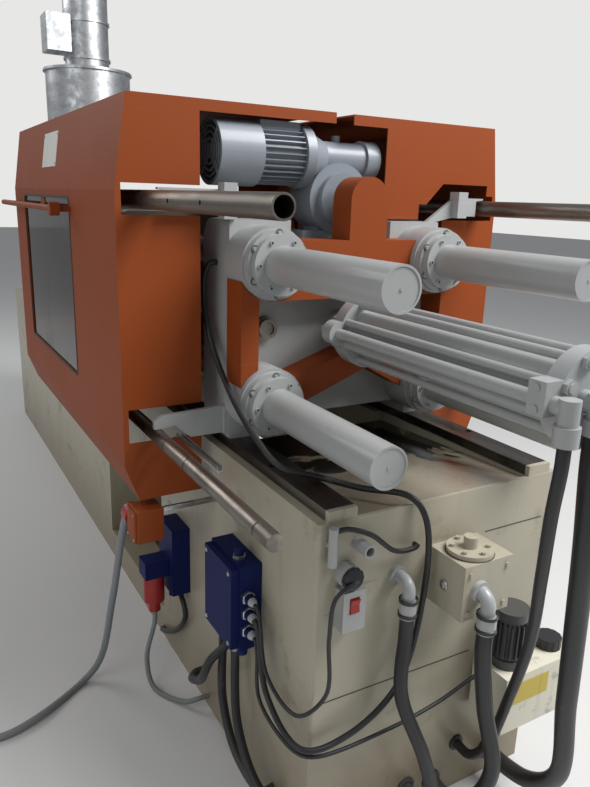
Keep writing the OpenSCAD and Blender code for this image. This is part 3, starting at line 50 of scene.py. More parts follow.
# What a node's input is filled with
Value = Union[NodeSocket, float, tuple]
# Faces that meet at a smaller angle shade as one
SHARP = math.radians(35)


# Meshes


class Axis(Enum):
    """The three main directions of the shared frame."""

    X = 0
    Y = 1
    Z = 2


def basis(direction: Sequence[float]) -> np.ndarray:
    """Two unit vectors across a direction, and the direction itself.

    Args:
        direction: any vector that isn't zero.

    Returns:
        A 3 by 3 array, one vector a row: across, across again, along.
    """
    along = np.asarray(direction, float)
    along = along / np.linalg.norm(along)
    helper = np.eye(3)[int(np.argmin(np.abs(along)))]
    first = np.cross(helper, along)
    first /= np.linalg.norm(first)
    return np.stack([first, np.cross(along, first), along])


def circle(sides: int, first: np.ndarray, second: np.ndarray) -> np.ndarray:
    """Unit circle points: cos(a) * first + sin(a) * second, for equal steps of a."""
    angle = np.arange(sides) * 2 * np.pi / sides
    return np.cos(angle)[:, None] * first[..., None, :] + np.sin(angle)[:, None] * second[..., None, :]


def new_piece(name: str, points: np.ndarray, faces: Sequence) -> Object:
    """Puts points and faces in a new object at the origin, smooth across edges under 35 degrees.

    Args:
        name: the piece's name.
        points: an array of points, in metres.
        faces: rows of point numbers.

    Returns:
        The new object, linked to the scene.
    """
    mesh = bpy.data.meshes.new(name)
    rows = [list(map(int, f)) for f in faces]
    mesh.from_pydata(np.asarray(points, float).reshape(-1, 3).tolist(), [], rows)
    mesh.validate()
    mesh.update()
    piece = bpy.data.objects.new(name, mesh)
    bpy.context.scene.collection.objects.link(piece)
    mesh.polygons.foreach_set("use_smooth", np.ones(len(mesh.polygons), bool))
    mesh.set_sharp_from_angle(angle=SHARP)
    return piece


def grid_faces(rows: int, columns: int) -> np.ndarray:
    """Quads between neighbouring rows of a grid of points whose last column joins the first.

    Args:
        rows: number of rows.
        columns: number of points in a row.

    Returns:
        An array of faces, four point numbers each.
    """
    i = np.arange(rows - 1)[:, None] * columns
    j = np.arange(columns)[None, :]
    k = (j + 1) % columns
    return np.stack([i + j, i + k, i + columns + k, i + columns + j], axis=-1).reshape(-1, 4)


@dataclass
class Solid:
    """Points and faces that grow shape by shape into one piece."""

    points: list = field(default_factory=list)
    faces: list = field(default_factory=list)
    count: int = 0

    def put(self, points: np.ndarray, faces: Sequence) -> None:
        """Adds a shape, its faces renumbered after those already there.

        Args:
            points: an array of points, in metres.
            faces: rows of numbers of these points.
        """
        self.points.append(points.reshape(-1, 3))
        self.faces.extend([[int(v) + self.count for v in f] for f in faces])
        self.count += len(points.reshape(-1, 3))

    def capped(self, rings: np.ndarray) -> None:
        """Adds a tube whose two ends are closed by flat faces.

        Args:
            rings: an array of points, a ring a row.
        """
        rows, columns = rings.shape[:2]
        last = range((rows - 1) * columns, rows * columns)
        self.put(rings, [*grid_faces(rows, columns), range(columns)[::-1], last])

    def turned(self, profile: Sequence, at: Vec3, along: Sequence[float], sides: int = 40) -> None:
        """Adds a profile turned about an axis: point = at + distance * along + radius * circle.

        Args:
            profile: pairs of distance along the axis and radius, in metres, closed by flat faces.
            at: where the axis starts, in metres.
            along: the axis' direction.
            sides: points round the axis.
        """
        b = basis(along)
        p = np.asarray(profile, float)
        radius = np.maximum(p[:, 1], 1e-5)[:, None, None]
        self.capped(np.asarray(at) + p[:, 0, None, None] * b[2] + radius * circle(sides, b[0], b[1]))

    def block(self, low: Sequence[float], high: Sequence[float], radius: float = 0.003,
              steps: int = 3) -> None:
        """Adds a box with round edges: each point is the nearest inner corner plus radius * direction.

        Args:
            low: its lowest corner.
            high: its highest corner.
            radius: radius of its edges.
            steps: points in each quarter turn.
        """
        low, high = np.asarray(low, float), np.asarray(high, float)
        half = (high - low) / 2
        radius = min(radius, float(half.min()) * 0.98)
        turn = np.concatenate([np.linspace(q, q + 90, steps + 1) for q in (0, 90, 180, 270)])
        tilt = np.concatenate([np.linspace(-90, 0, steps + 1), np.linspace(0, 90, steps + 1)])
        signs_x = np.repeat([1, -1, -1, 1], steps + 1)
        signs_y = np.repeat([1, 1, -1, -1], steps + 1)
        signs_z = np.repeat([-1, 1], steps + 1)
        u, v = np.radians(turn), np.radians(tilt)
        n = np.stack([np.cos(v)[:, None] * np.cos(u), np.cos(v)[:, None] * np.sin(u),
                      np.repeat(np.sin(v)[:, None], len(u), 1)], axis=-1)
        inner = np.stack([np.broadcast_to(signs_x, n.shape[:2]), np.broadcast_to(signs_y, n.shape[:2]),
                          np.broadcast_to(signs_z[:, None], n.shape[:2])], axis=-1) * (half - radius)
        self.capped((low + high) / 2 + inner + radius * n)

    def tube(self, path: np.ndarray, radius: float, sides: int = 18) -> None:
        """Adds a round tube: each ring is path point + radius * circle across the path's tangent.

        Args:
            path: the points along its middle.
            radius: its radius.
            sides: points in a ring.
        """
        tangent = np.gradient(path, axis=0)
        tangent /= np.linalg.norm(tangent, axis=1)[:, None]
        least = np.linalg.eigh(tangent.T @ tangent)[1][:, 0]
        first = np.cross(tangent, least)
        first /= np.linalg.norm(first, axis=1)[:, None]
        self.capped(path[:, None, :] + radius * circle(sides, first, np.cross(tangent, first)))

    def ring(self, profile: Sequence, at: Vec3, axis: Axis, sign: int = 1, sides: int = 40) -> None:
        """Adds a closed profile turned about a main direction, as a hollow ring.

        Args:
            profile: pairs of distance along the axis and radius, in millimetres, no radius zero.
            at: where the axis starts, in metres.
            axis: the main direction it is turned about.
            sign: 1 or -1, the way along the axis.
            sides: points round the axis.
        """
        b = basis(sign * np.eye(3)[axis.value])
        p = np.asarray(list(profile) + [profile[0]], float) / 1000
        rings = p[:, 0, None, None] * b[2] + p[:, 1, None, None] * circle(sides, b[0], b[1])
        self.put(np.asarray(at) + rings, grid_faces(len(p), sides))

    def head(self, at: Vec3, axis: Axis, sign: int, radius: float, height: float, sides: int = 24) -> None:
        """Adds a screw head with a rounded rim, in millimetres, standing on a face.

        Args:
            at: the middle of its seat, in metres.
            axis: the main direction it stands along.
            sign: 1 or -1, the way it stands.
            radius: its radius.
            height: its height.
            sides: 6 for a hexagon head, more for a round one.
        """
        r, h = radius / 1000, height / 1000
        self.turned([(0, r), (0.7 * h, r), (0.92 * h, 0.88 * r), (h, 0.7 * r), (h, 0)], at,
                    sign * np.eye(3)[axis.value], sides)

    def slab(self, corners: np.ndarray, offset: Sequence[float]) -> None:
        """Adds a flat plate: its corners, and the same corners moved by an offset.

        Args:
            corners: the corners of one face, in order.
            offset: the way to the other face.
        """
        n = len(corners)
        sides = [[i, (i + 1) % n, n + (i + 1) % n, n + i] for i in range(n)]
        self.put(np.concatenate([corners, corners + np.asarray(offset, float)]),
                 [range(n)[::-1], range(n, 2 * n), *sides])

    def seal(self, low: Sequence[float], high: Sequence[float], radius: float, width: float, y0: float,
             y1: float) -> None:
        """Adds a round-cornered frame in the XZ plane: each point is a corner centre + radius * direction.

        Args:
            low: lowest X and Z of its inner edge.
            high: highest X and Z of its inner edge.
            radius: radius of its inner corners.
            width: how wide it is.
            y0: its back face.
            y1: its front face.
        """
        turn = np.radians(np.concatenate([np.linspace(q, q + 90, 7) for q in (0, 90, 180, 270)]))
        cx = np.repeat([high[0] - radius, low[0] + radius, low[0] + radius, high[0] - radius], 7)
        cz = np.repeat([high[1] - radius, high[1] - radius, low[1] + radius, low[1] + radius], 7)
        rows = [(radius, y0), (radius + width, y0), (radius + width, y1), (radius, y1), (radius, y0)]
        loops = [np.stack([cx + r * np.cos(turn), np.full(len(turn), y), cz + r * np.sin(turn)], axis=1)
                 for r, y in rows]
        self.put(np.stack(loops), grid_faces(len(rows), len(turn)))

    def piece(self, name: str) -> Object:
        """Makes the grown shapes one object, with doubled points merged and faces outwards.

        Args:
            name: the piece's name.

        Returns:
            The new object.
        """
        made = new_piece(name, np.concatenate(self.points), self.faces)
        work = bmesh.new()
        work.from_mesh(made.data)
        bmesh.ops.remove_doubles(work, verts=work.verts, dist=2e-6)
        bmesh.ops.recalc_face_normals(work, faces=work.faces)
        work.to_mesh(made.data)
        work.free()
        made.data.set_sharp_from_angle(angle=SHARP)
        return made


def mm(*values: float) -> tuple:
    """Millimetres as metres."""
    return tuple(v / 1000 for v in values)


def smooth_path(points: Sequence, step: float = 0.012) -> np.ndarray:
    """A smooth line through points: centripetal cubic pieces, sampled at equal lengths.

    Args:
        points: the points it passes, in metres.
        step: distance between samples.

    Returns:
        An array of points along the line.
    """
    p = np.asarray(points, float)
    ends = np.vstack([2 * p[0] - p[1], p, 2 * p[-1] - p[-2]])
    a, b, c, d = ends[:-3], ends[1:-2], ends[2:-1], ends[3:]
    knot = [np.zeros(len(a))]
    for q, r in ((a, b), (b, c), (c, d)):
        knot.append(knot[-1] + np.maximum(np.linalg.norm(r - q, axis=1), 1e-6) ** 0.5)
    t0, t1, t2, t3 = (k[:, None, None] for k in knot)
    t = t1 + (t2 - t1) * np.linspace(0, 1, 24, endpoint=False)[None, :, None]
    a, b, c, d = (v[:, None, :] for v in (a, b, c, d))
    a1 = (t1 - t) / (t1 - t0) * a + (t - t0) / (t1 - t0) * b
    a2 = (t2 - t) / (t2 - t1) * b + (t - t1) / (t2 - t1) * c
    a3 = (t3 - t) / (t3 - t2) * c + (t - t2) / (t3 - t2) * d
    b1 = (t2 - t) / (t2 - t0) * a1 + (t - t0) / (t2 - t0) * a2
    b2 = (t3 - t) / (t3 - t1) * a2 + (t - t1) / (t3 - t1) * a3
    line = np.vstack([((t2 - t) / (t2 - t1) * b1 + (t - t1) / (t2 - t1) * b2).reshape(-1, 3), p[-1:]])
    length = np.concatenate([[0], np.cumsum(np.linalg.norm(np.diff(line, axis=0), axis=1))])
    at = np.linspace(0, length[-1], max(8, int(length[-1] / step)))
    return np.stack([np.interp(at, length, line[:, k]) for k in range(3)], axis=1)


# Shader groups


class Shader:
    """A node tree that is filled with short calls."""

    def __init__(self, tree: NodeTree) -> None:
        """Keeps the tree to fill."""
        self.tree = tree

    def fill(self, node: Node, values: dict) -> None:
        """Fills a node's inputs.

        Args:
            node: the node.
            values: input name or number to a value, or to a socket that is linked to it.
        """
        for key, value in values.items():
            if isinstance(value, NodeSocket):
                self.tree.links.new(value, node.inputs[key])
            else:
                node.inputs[key].default_value = value

    def node(self, kind: str, values: Optional[dict] = None, **settings: object) -> Node:
        """Adds a node, sets its options and fills its inputs.

        Args:
            kind: the node's type, without the word ShaderNode.
            values: what its inputs are filled with.
            settings: the node's own options.

        Returns:
            The new node.
        """
        made = self.tree.nodes.new("ShaderNode" + kind)
        for key, value in settings.items():
            setattr(made, key, value)
        self.fill(made, values or {})
        return made

    def place(self) -> NodeSocket:
        """The coordinates of the piece that wears the material."""
        return self.node("TexCoord").outputs["Object"]

    def noise(self, vector: Value, scale: Value, detail: float = 5.0, rough: float = 0.6,
              bend: float = 0.0) -> NodeSocket:
        """Soft noise from 0 to 1 at a number of cells per metre."""
        return self.node("TexNoise", {"Vector": vector, "Scale": scale, "Detail": detail,
                                      "Roughness": rough, "Distortion": bend}).outputs["Fac"]

    def ramp(self, value: Value, low: Value, high: Value, start: float = 0.0,
             end: float = 1.0) -> NodeSocket:
        """Stretches a value so that low becomes start and high becomes end, clamped."""
        return self.node("MapRange", {"Value": value, "From Min": low, "From Max": high, "To Min": start,
                                      "To Max": end}, interpolation_type="SMOOTHSTEP").outputs["Result"]

    def sum(self, operation: str, first: Value, second: Value) -> NodeSocket:
        """A clamped sum, product or other reckoning on two values."""
        return self.node("Math", {0: first, 1: second}, operation=operation, use_clamp=True).outputs[0]

    def blend(self, mask: Value, first: Value, second: Value) -> NodeSocket:
        """A colour that goes from first to second as the mask goes from 0 to 1."""
        return self.node("Mix", {0: mask, 6: first, 7: second}, data_type="RGBA").outputs[2]

    def scaled(self, vector: NodeSocket, scale: Vec3) -> NodeSocket:
        """The same coordinates stretched along each axis."""
        return self.node("Mapping", {"Vector": vector, "Scale": scale}).outputs[0]


    def use(self, group: str, **values: float) -> bpy.types.bpy_prop_collection:
        """Places a shared group with its own values, and gives its outputs."""
        spaced = {key.replace("_", " "): value for key, value in values.items()}
        return self.node("Group", spaced, node_tree=GROUPS[group]).outputs

    def bump(self, skin: Node, height: Value, strength: float, distance: float) -> None:
        """Gives a skin a bump from a height."""
        made = self.node("Bump", {"Height": height, "Strength": strength, "Distance": distance})
        self.fill(skin, {"Normal": made.outputs[0]})


def shader_group(name: str, inputs: dict, outputs: Sequence[str]) -> tuple:
    """Starts a shared shader group with float inputs and float outputs.

    Args:
        name: the group's name.
        inputs: input name to its first value.
        outputs: the outputs' names.

    Returns:
        The tree to fill, the sockets of its inputs and its output node.
    """
    tree = bpy.data.node_groups.new(name, "ShaderNodeTree")
    for key, value in inputs.items():
        socket = tree.interface.new_socket(name=key, in_out="INPUT", socket_type="NodeSocketFloat")
        socket.default_value = value
    for key in outputs:
        tree.interface.new_socket(name=key, in_out="OUTPUT", socket_type="NodeSocketFloat")
    return Shader(tree), tree.nodes.new("NodeGroupInput").outputs, tree.nodes.new("NodeGroupOutput")


def grime_group() -> NodeTree:
    """Dirt in blotches, runs down the surface, and a darker foot near the floor.

    Returns:
        The group's tree.
    """
    s, given, out = shader_group("grime", {"Blotch Scale": 7.0, "Amount": 0.5, "Foot": 0.45},
                                 ["Dirt", "Runs", "Foot"])
    place = s.place()
    edge = s.sum("SUBTRACT", 0.74, s.sum("MULTIPLY", given["Amount"], 0.34))
    soft = s.ramp(s.noise(place, given["Blotch Scale"], 7.0, 0.66), edge, s.sum("ADD", edge, 0.16))
    runs = s.ramp(s.noise(s.scaled(place, (26.0, 26.0, 1.6)), 1.0, 4.0, 0.55), 0.56, 0.76)
    height = s.node("SeparateXYZ", {0: place}).outputs["Z"]
    wavy = s.sum("ADD", height, s.sum("MULTIPLY", s.noise(place, 5.0), 0.22))
    s.fill(out, {"Dirt": s.sum("MULTIPLY", soft, given["Amount"]),
                 "Runs": s.sum("MULTIPLY", runs, given["Amount"]),
                 "Foot": s.ramp(wavy, 0.1, given["Foot"], 1.0, 0.0)})
    return s.tree


def enamel_group() -> NodeTree:
    """The slightly pebbled skin of sprayed enamel, with small chips and fine scratches.

    Returns:
        The group's tree.
    """
    s, given, out = shader_group("enamel_skin", {"Pebble": 260.0, "Chips": 0.3}, ["Height", "Chip", "Tone"])
    place = s.place()
    pebble = s.sum("MULTIPLY", s.noise(place, given["Pebble"], 2.0, 0.5), 0.35)
    wave = s.sum("MULTIPLY", s.noise(place, 16.0, 2.0), 0.6)
    chips = s.ramp(s.noise(place, 34.0, 8.0, 0.72), 0.715, 0.735)
    lines = s.noise(s.scaled(place, (3.0, 3.0, 110.0)), 1.0, 3.0, 0.5, 0.6)
    scratch = s.sum("MULTIPLY", s.ramp(lines, 0.69, 0.71), s.ramp(s.noise(place, 3.0), 0.5, 0.62))
    s.fill(out, {"Height": s.sum("ADD", pebble, wave),
                 "Chip": s.sum("MULTIPLY", s.sum("MAXIMUM", chips, scratch), given["Chips"]),
                 "Tone": s.noise(place, 2.3, 3.0)})
    return s.tree


def turned_group() -> NodeTree:
    """Fine tool marks on turned or ground steel, close together along X, and smears of oil.

    Returns:
        The group's tree.
    """
    s, given, out = shader_group("tool_marks", {"Marks": 900.0, "Oil": 0.5}, ["Height", "Tone", "Oil"])
    place = s.place()
    x, y, z = s.node("SeparateXYZ", {0: place}).outputs
    close = s.node("Math", {0: x, 1: given["Marks"]}, operation="MULTIPLY").outputs[0]
    oil = s.ramp(s.noise(s.scaled(place, (3.0, 9.0, 9.0)), 1.0, 5.0), 0.52, 0.66)
    s.fill(out, {"Height": s.noise(s.node("CombineXYZ", {0: close, 1: y, 2: z}).outputs[0], 1.0, 3.0),
                 "Tone": s.ramp(s.noise(s.scaled(place, (2.0, 14.0, 14.0)), 1.6, 6.0), 0.35, 0.7),
                 "Oil": s.sum("MULTIPLY", oil, given["Oil"])})
    return s.tree


def puddle_and_shadow_group() -> NodeTree:
    """Pools of old oil with sharp edges and a thin film round them, more of them near the tail plate, where
    the extra black is painted shadow under the tail plate.

    Returns:
        The group's tree.
    """
    s, given, out = shader_group("oil_pools_and_tail_shadow", {"Spread": 0.5, "Scale": 3.2}, ["Pool_And_Shadow", "Film"])
    place = s.place()
    cloud = s.noise(place, given["Scale"], 6.0, 0.55, 0.8)
    # More black towards the tail plate: painted shadow under the tail plate
    near = s.ramp(s.node("SeparateXYZ", {0: place}).outputs["X"], 1.94, 1.60)
    level = s.sum("SUBTRACT", 0.88, s.sum("MULTIPLY", given["Spread"], 0.5))
    level = s.sum("SUBTRACT", level, s.sum("MULTIPLY", near, 0.24))
    s.fill(out, {"Pool_And_Shadow": s.ramp(cloud, level, s.sum("ADD", level, 0.035)),
                 "Film": s.ramp(cloud, s.sum("SUBTRACT", level, 0.12), level)})
    return s.tree


GROUPS = {
    "grime": grime_group(),
    "enamel": enamel_group(),
    "turned": turned_group(),
    "puddle_and_shadow": puddle_and_shadow_group(),
}


# Finishes


def rgba(colour: Vec3) -> tuple[float, float, float, float]:
    """A colour with full opacity."""
    return (*colour, 1.0)


@dataclass(frozen=True)
class Finish:
    """What every finish has: a name, a colour and a roughness."""

    name: str
    colour: Vec3
    rough: float

    def make(self) -> Material:
        """Makes the material, filled by the finish's own paint method.

        Returns:
            The new material.
        """
        material = bpy.data.materials.new(self.name)
        material.use_nodes = True
        material.node_tree.nodes.clear()
        s = Shader(material.node_tree)
        skin = s.node("BsdfPrincipled", {"Base Color": rgba(self.colour), "Roughness": self.rough})
        s.node("OutputMaterial", {0: skin.outputs[0]})
        self.paint(s, skin)
        material.diffuse_color = rgba(self.colour)
        return material

    def paint(self, s: Shader, skin: Node) -> None:
        """Fills in the sockets that this kind of finish varies."""
        raise NotImplementedError

@dataclass(frozen=True)
class Enamel(Finish):
    """Sprayed machine paint, with dirt, runs, chips and a foot darker towards the floor, partly dirt and
    partly painted shade.
    """

    dirt_and_shade_colour: Vec3 = (0.20, 0.15, 0.09)
    chip_colour: Vec3 = (0.16, 0.15, 0.14)
    amount: float = 0.5
    chips: float = 0.5
    foot: float = 0.4
    tone: float = 0.12
    coat: float = 0.25
    shine: float = 0.5

    def paint(self, s: Shader, skin: Node) -> None:
        """Blends dirt, runs, chips and the darker foot, which is partly painted shade, over the paint.

        Args:
            s: the material's tree.
            skin: its surface shader.
        """
        grime = s.use("grime", Blotch_Scale=6.0, Amount=self.amount, Foot=self.foot)
        enamel = s.use("enamel", Chips=self.chips)
        dark = tuple(c * (1 - self.tone) for c in self.colour)
        stain = tuple(0.55 * c + 0.45 * d for c, d in zip(self.colour, self.dirt_and_shade_colour))
        colour = rgba(self.colour)
        for mask, layer in ((enamel["Tone"], dark), (grime["Runs"], stain),
                            (s.sum("MULTIPLY", grime["Dirt"], 0.8), self.dirt_and_shade_colour),
                            # Towards the floor: dirt colour that is partly painted shade low down
                            (s.sum("MULTIPLY", grime["Foot"], 0.75), self.dirt_and_shade_colour),
                            (enamel["Chip"], self.chip_colour)):
            colour = s.blend(mask, colour, rgba(layer))
        uneven = s.sum("ADD", grime["Dirt"], s.sum("MULTIPLY", enamel["Tone"], 0.4))
        s.fill(skin, {"Base Color": colour, "Coat Weight": self.coat, "Coat Roughness": 0.18,
                      "Roughness": s.ramp(uneven, 0.0, 0.9, self.rough, min(0.85, self.rough + 0.3)),
                      "Specular IOR Level": self.shine})
        s.bump(skin, enamel["Height"], 0.12, 0.002)


@dataclass(frozen=True)
class OilyDeck(Enamel):
    """Painted sheet under pools of old black oil, with painted shadow near the tail plate in the same
    black.
    """

    spread: float = 0.62

    def paint(self, s: Shader, skin: Node) -> None:
        """Puts oil pools, with painted shadow near the tail plate, over the dirty paint.

        Args:
            s: the material's tree.
            skin: its surface shader.
        """
        super().paint(s, skin)
        under = skin.inputs["Base Color"].links[0].from_socket
        dull = skin.inputs["Roughness"].links[0].from_socket
        pool_and_shadow = s.use("puddle_and_shadow", Spread=self.spread)
        brown = s.blend(s.sum("MULTIPLY", pool_and_shadow["Film"], 0.4), under, rgba((0.16, 0.12, 0.06)))
        wet = s.node("MapRange", {"Value": pool_and_shadow["Film"], "To Min": dull, "To Max": 0.12})
        # Near-black: pools of oil, and near the tail plate painted shadow
        s.fill(skin, {"Base Color": s.blend(pool_and_shadow["Pool_And_Shadow"], brown, rgba((0.012, 0.010, 0.008))),
                      "Roughness": wet.outputs[0]})


@dataclass(frozen=True)
class Steel(Finish):
    """Turned or ground steel with tool marks and oil."""

    oil: float = 0.5
    marks: float = 900.0
    metal: float = 1.0

    def paint(self, s: Shader, skin: Node) -> None:
        """Lays tone, oil and tool marks over the metal.

        Args:
            s: the material's tree.
            skin: its surface shader.
        """
        turned = s.use("turned", Marks=self.marks, Oil=self.oil)
        dark = tuple(c * 0.55 for c in self.colour)
        colour = s.blend(turned["Tone"], rgba(dark), rgba(self.colour))
        s.fill(skin, {"Base Color": s.blend(turned["Oil"], colour, rgba((0.045, 0.035, 0.022))),
                      "Roughness": s.ramp(turned["Tone"], 0.0, 1.0, self.rough + 0.14, self.rough),
                      "Metallic": self.metal})
        s.bump(skin, turned["Height"], 0.25, 0.0006)


@dataclass(frozen=True)
class Rubber(Finish):
    """Black or grey hose and cable sheath, dusty on top and scuffed."""

    dust: float = 0.35
    dust_colour: Vec3 = (0.16, 0.15, 0.13)

    def paint(self, s: Shader, skin: Node) -> None:
        """Dusts the sheath and roughens it.

        Args:
            s: the material's tree.
            skin: its surface shader.
        """
        grime = s.use("grime", Blotch_Scale=14.0, Amount=self.dust, Foot=0.3)
        dusty = s.sum("ADD", grime["Dirt"], s.sum("MULTIPLY", grime["Foot"], 0.4))
        weave = s.noise(s.place(), 420.0, 3.0)
        uneven = s.sum("ADD", dusty, s.sum("MULTIPLY", weave, 0.3))
        s.fill(skin, {"Base Color": s.blend(dusty, rgba(self.colour), rgba(self.dust_colour)),
                      "Roughness": s.ramp(uneven, 0.0, 1.0, self.rough, min(0.9, self.rough + 0.35))})
        s.bump(skin, weave, 0.2, 0.001)


@dataclass(frozen=True)
class Plastic(Finish):
    """Moulded plastic with a fine grain and finger dirt."""

    grain: float = 700.0
    amount: float = 0.35
    translucent: float = 0.0

    def paint(self, s: Shader, skin: Node) -> None:
        """Grains and soils the plastic.

        Args:
            s: the material's tree.
            skin: its surface shader.
        """
        grime = s.use("grime", Blotch_Scale=18.0, Amount=self.amount, Foot=0.2)
        soiled = s.sum("ADD", grime["Dirt"], s.sum("MULTIPLY", grime["Runs"], 0.5))
        dark = tuple(0.35 * c + 0.02 for c in self.colour)
        s.fill(skin, {"Base Color": s.blend(soiled, rgba(self.colour), rgba(dark)),
                      "Roughness": s.ramp(soiled, 0.0, 0.6, self.rough, self.rough + 0.25),
                      "Subsurface Weight": self.translucent, "Subsurface Scale": 0.01})
        s.bump(skin, s.noise(s.place(), self.grain, 2.0), 0.15, 0.0006)


@dataclass(frozen=True)
class SmokedPane(Finish):
    """Smoked clear sheet with hand smears."""

    def paint(self, s: Shader, skin: Node) -> None:
        """Makes the sheet clear and smears it."""
        smear = s.ramp(s.noise(s.place(), 4.0, 7.0, 0.7), 0.45, 0.8, self.rough, self.rough + 0.22)
        s.fill(skin, {"Transmission Weight": 1.0, "IOR": 1.49, "Specular IOR Level": 0.2,
                      "Roughness": smear})


# The bed's cream, darker than the platens' partly as painted shade of its walls and side
SHADED_CREAM = Enamel("cream_machine_enamel", (0.43, 0.395, 0.305), 0.38, amount=0.55, chips=0.5, foot=0.6,
               shine=0.35)
PLATEN = Enamel("cream_platen_enamel", (0.62, 0.60, 0.52), 0.38, amount=0.5, chips=0.5, foot=0.0)
DECK = OilyDeck("oily_deck_enamel", (0.86, 0.84, 0.74), 0.22, amount=0.3, chips=0.2, foot=0.0, spread=0.56)
# White paint with a blue tint that is painted sky light
WHITE = Enamel("white_enamel_painted_sky_blue", (0.71, 0.79, 0.90), 0.32, amount=0.24, chips=0.2, foot=0.0, tone=0.06,
               dirt_and_shade_colour=(0.24, 0.23, 0.19), coat=0.2)
ORANGE = Enamel("orange_guard_enamel", (0.66, 0.125, 0.012), 0.5, amount=0.2, chips=0.25, foot=0.0,
                tone=0.2, dirt_and_shade_colour=(0.14, 0.03, 0.008), chip_colour=(0.25, 0.18, 0.12), coat=0.0,
                shine=0.22)
# Motor paint made bluer by a painted cast of bluish window light
MOTOR = Enamel("motor_enamel", (0.52, 0.66, 0.86), 0.4, amount=0.42, chips=0.3, foot=0.0,
               dirt_and_shade_colour=(0.13, 0.12, 0.10), coat=0.2)
SMALL_MOTOR = Enamel("small_motor_enamel", (0.13, 0.14, 0.15), 0.4, amount=0.4, chips=0.4, foot=0.0,
                     dirt_and_shade_colour=(0.03, 0.028, 0.024), coat=0.2)
# Navy paint darkened nearly to black as painted shade of the box
SHADED_BLUE = Enamel("blue_box_enamel", (0.005, 0.012, 0.085), 0.46, amount=0.4, chips=0.3, foot=0.2,
              dirt_and_shade_colour=(0.010, 0.011, 0.016), coat=0.0, shine=0.16)
BAR_STEEL = Steel("ground_bar_steel", (0.34, 0.305, 0.265), 0.34, oil=0.45)
BRIGHT = Steel("bright_fitting_steel", (0.66, 0.66, 0.65), 0.3, oil=0.15, marks=300.0)
WAY_STEEL = Steel("worn_slideway_steel", (0.20, 0.19, 0.17), 0.3, oil=0.95, marks=200.0)
FORGED = Steel("oiled_forged_steel", (0.26, 0.27, 0.28), 0.42, oil=0.7, marks=60.0)
CHROME = Steel("hard_chrome", (0.78, 0.79, 0.80), 0.1, oil=0.1)
TIN = Steel("hopper_sheet", (0.66, 0.68, 0.70), 0.34, oil=0.12, marks=40.0)
HOSE = Rubber("black_hose_rubber", (0.016, 0.016, 0.018), 0.42)
GREY_SHEATH = Rubber("grey_cable_sheath", (0.22, 0.24, 0.25), 0.45)
BLACK_PLASTIC = Plastic("black_plastic", (0.022, 0.022, 0.024), 0.4)
TANK_PLASTIC = Plastic("milky_tank_plastic", (0.66, 0.63, 0.52), 0.42, amount=0.6, translucent=0.15)
RED_PLASTIC = Plastic("red_plastic", (0.34, 0.018, 0.014), 0.32)
GREY_PLASTIC = Plastic("grey_gland_plastic", (0.36, 0.38, 0.39), 0.38)
LABEL = Plastic("bare_label", (0.52, 0.40, 0.05), 0.45, amount=0.6)
PLATE = Plastic("bare_name_plate", (0.70, 0.69, 0.64), 0.36, amount=0.4)
SEAM = Rubber("dark_sealant", (0.05, 0.045, 0.04), 0.6)
PANE = SmokedPane("smoked_window", (0.12, 0.035, 0.02), 0.05)

NODE_FINISH = {
    SHADED_CREAM: ["bed", "suction_box", "carriage", "injection_beam"],
    PLATEN: ["fixed_platen", "moving_platen", "crosshead"],
    DECK: ["drip_deck"],
    WHITE: ["tail_plate", "tie_bar_covers", "clamp_cylinder", "cylinder_fittings", "bar_brackets",
            "outlet_elbows", "switch_box"],
    ORANGE: ["near_gate", "far_gate", "chain_cover", "limit_switch_box"],
    MOTOR: ["drive_motor", "worm_gearbox"],
    SMALL_MOTOR: ["lubrication_motor"],
    SHADED_BLUE: ["junction_boxes"],
    BAR_STEEL: ["guard_bars", "tie_bars", "injection_rods", "crosshead_guides", "ejector", "hopper_slide",
                "barrel", "screw"],
    WAY_STEEL: ["slideways"],
    FORGED: ["platen_nuts", "nut_upper_near", "nut_upper_far", "nut_lower_near", "nut_lower_far",
             "drive_sprocket", "tension_sprocket", "drive_chain", "rear_link_upper", "rear_link_lower",
             "front_link_upper", "front_link_lower", "crosshead_link_upper", "crosshead_link_lower"],
    CHROME: ["piston_rod"],
    TIN: ["hopper", "hopper_loader"],
    BLACK_PLASTIC: ["tank_cap", "motor_fan"],
    TANK_PLASTIC: ["lubrication_tank"],
    RED_PLASTIC: ["red_plugs", "rocker_switch"],
    HOSE: ["return_hoses", "clamp_hoses", "black_cables"],
    GREY_SHEATH: ["grey_cables"],
    PANE: ["near_window", "far_window"],
}


# The studio


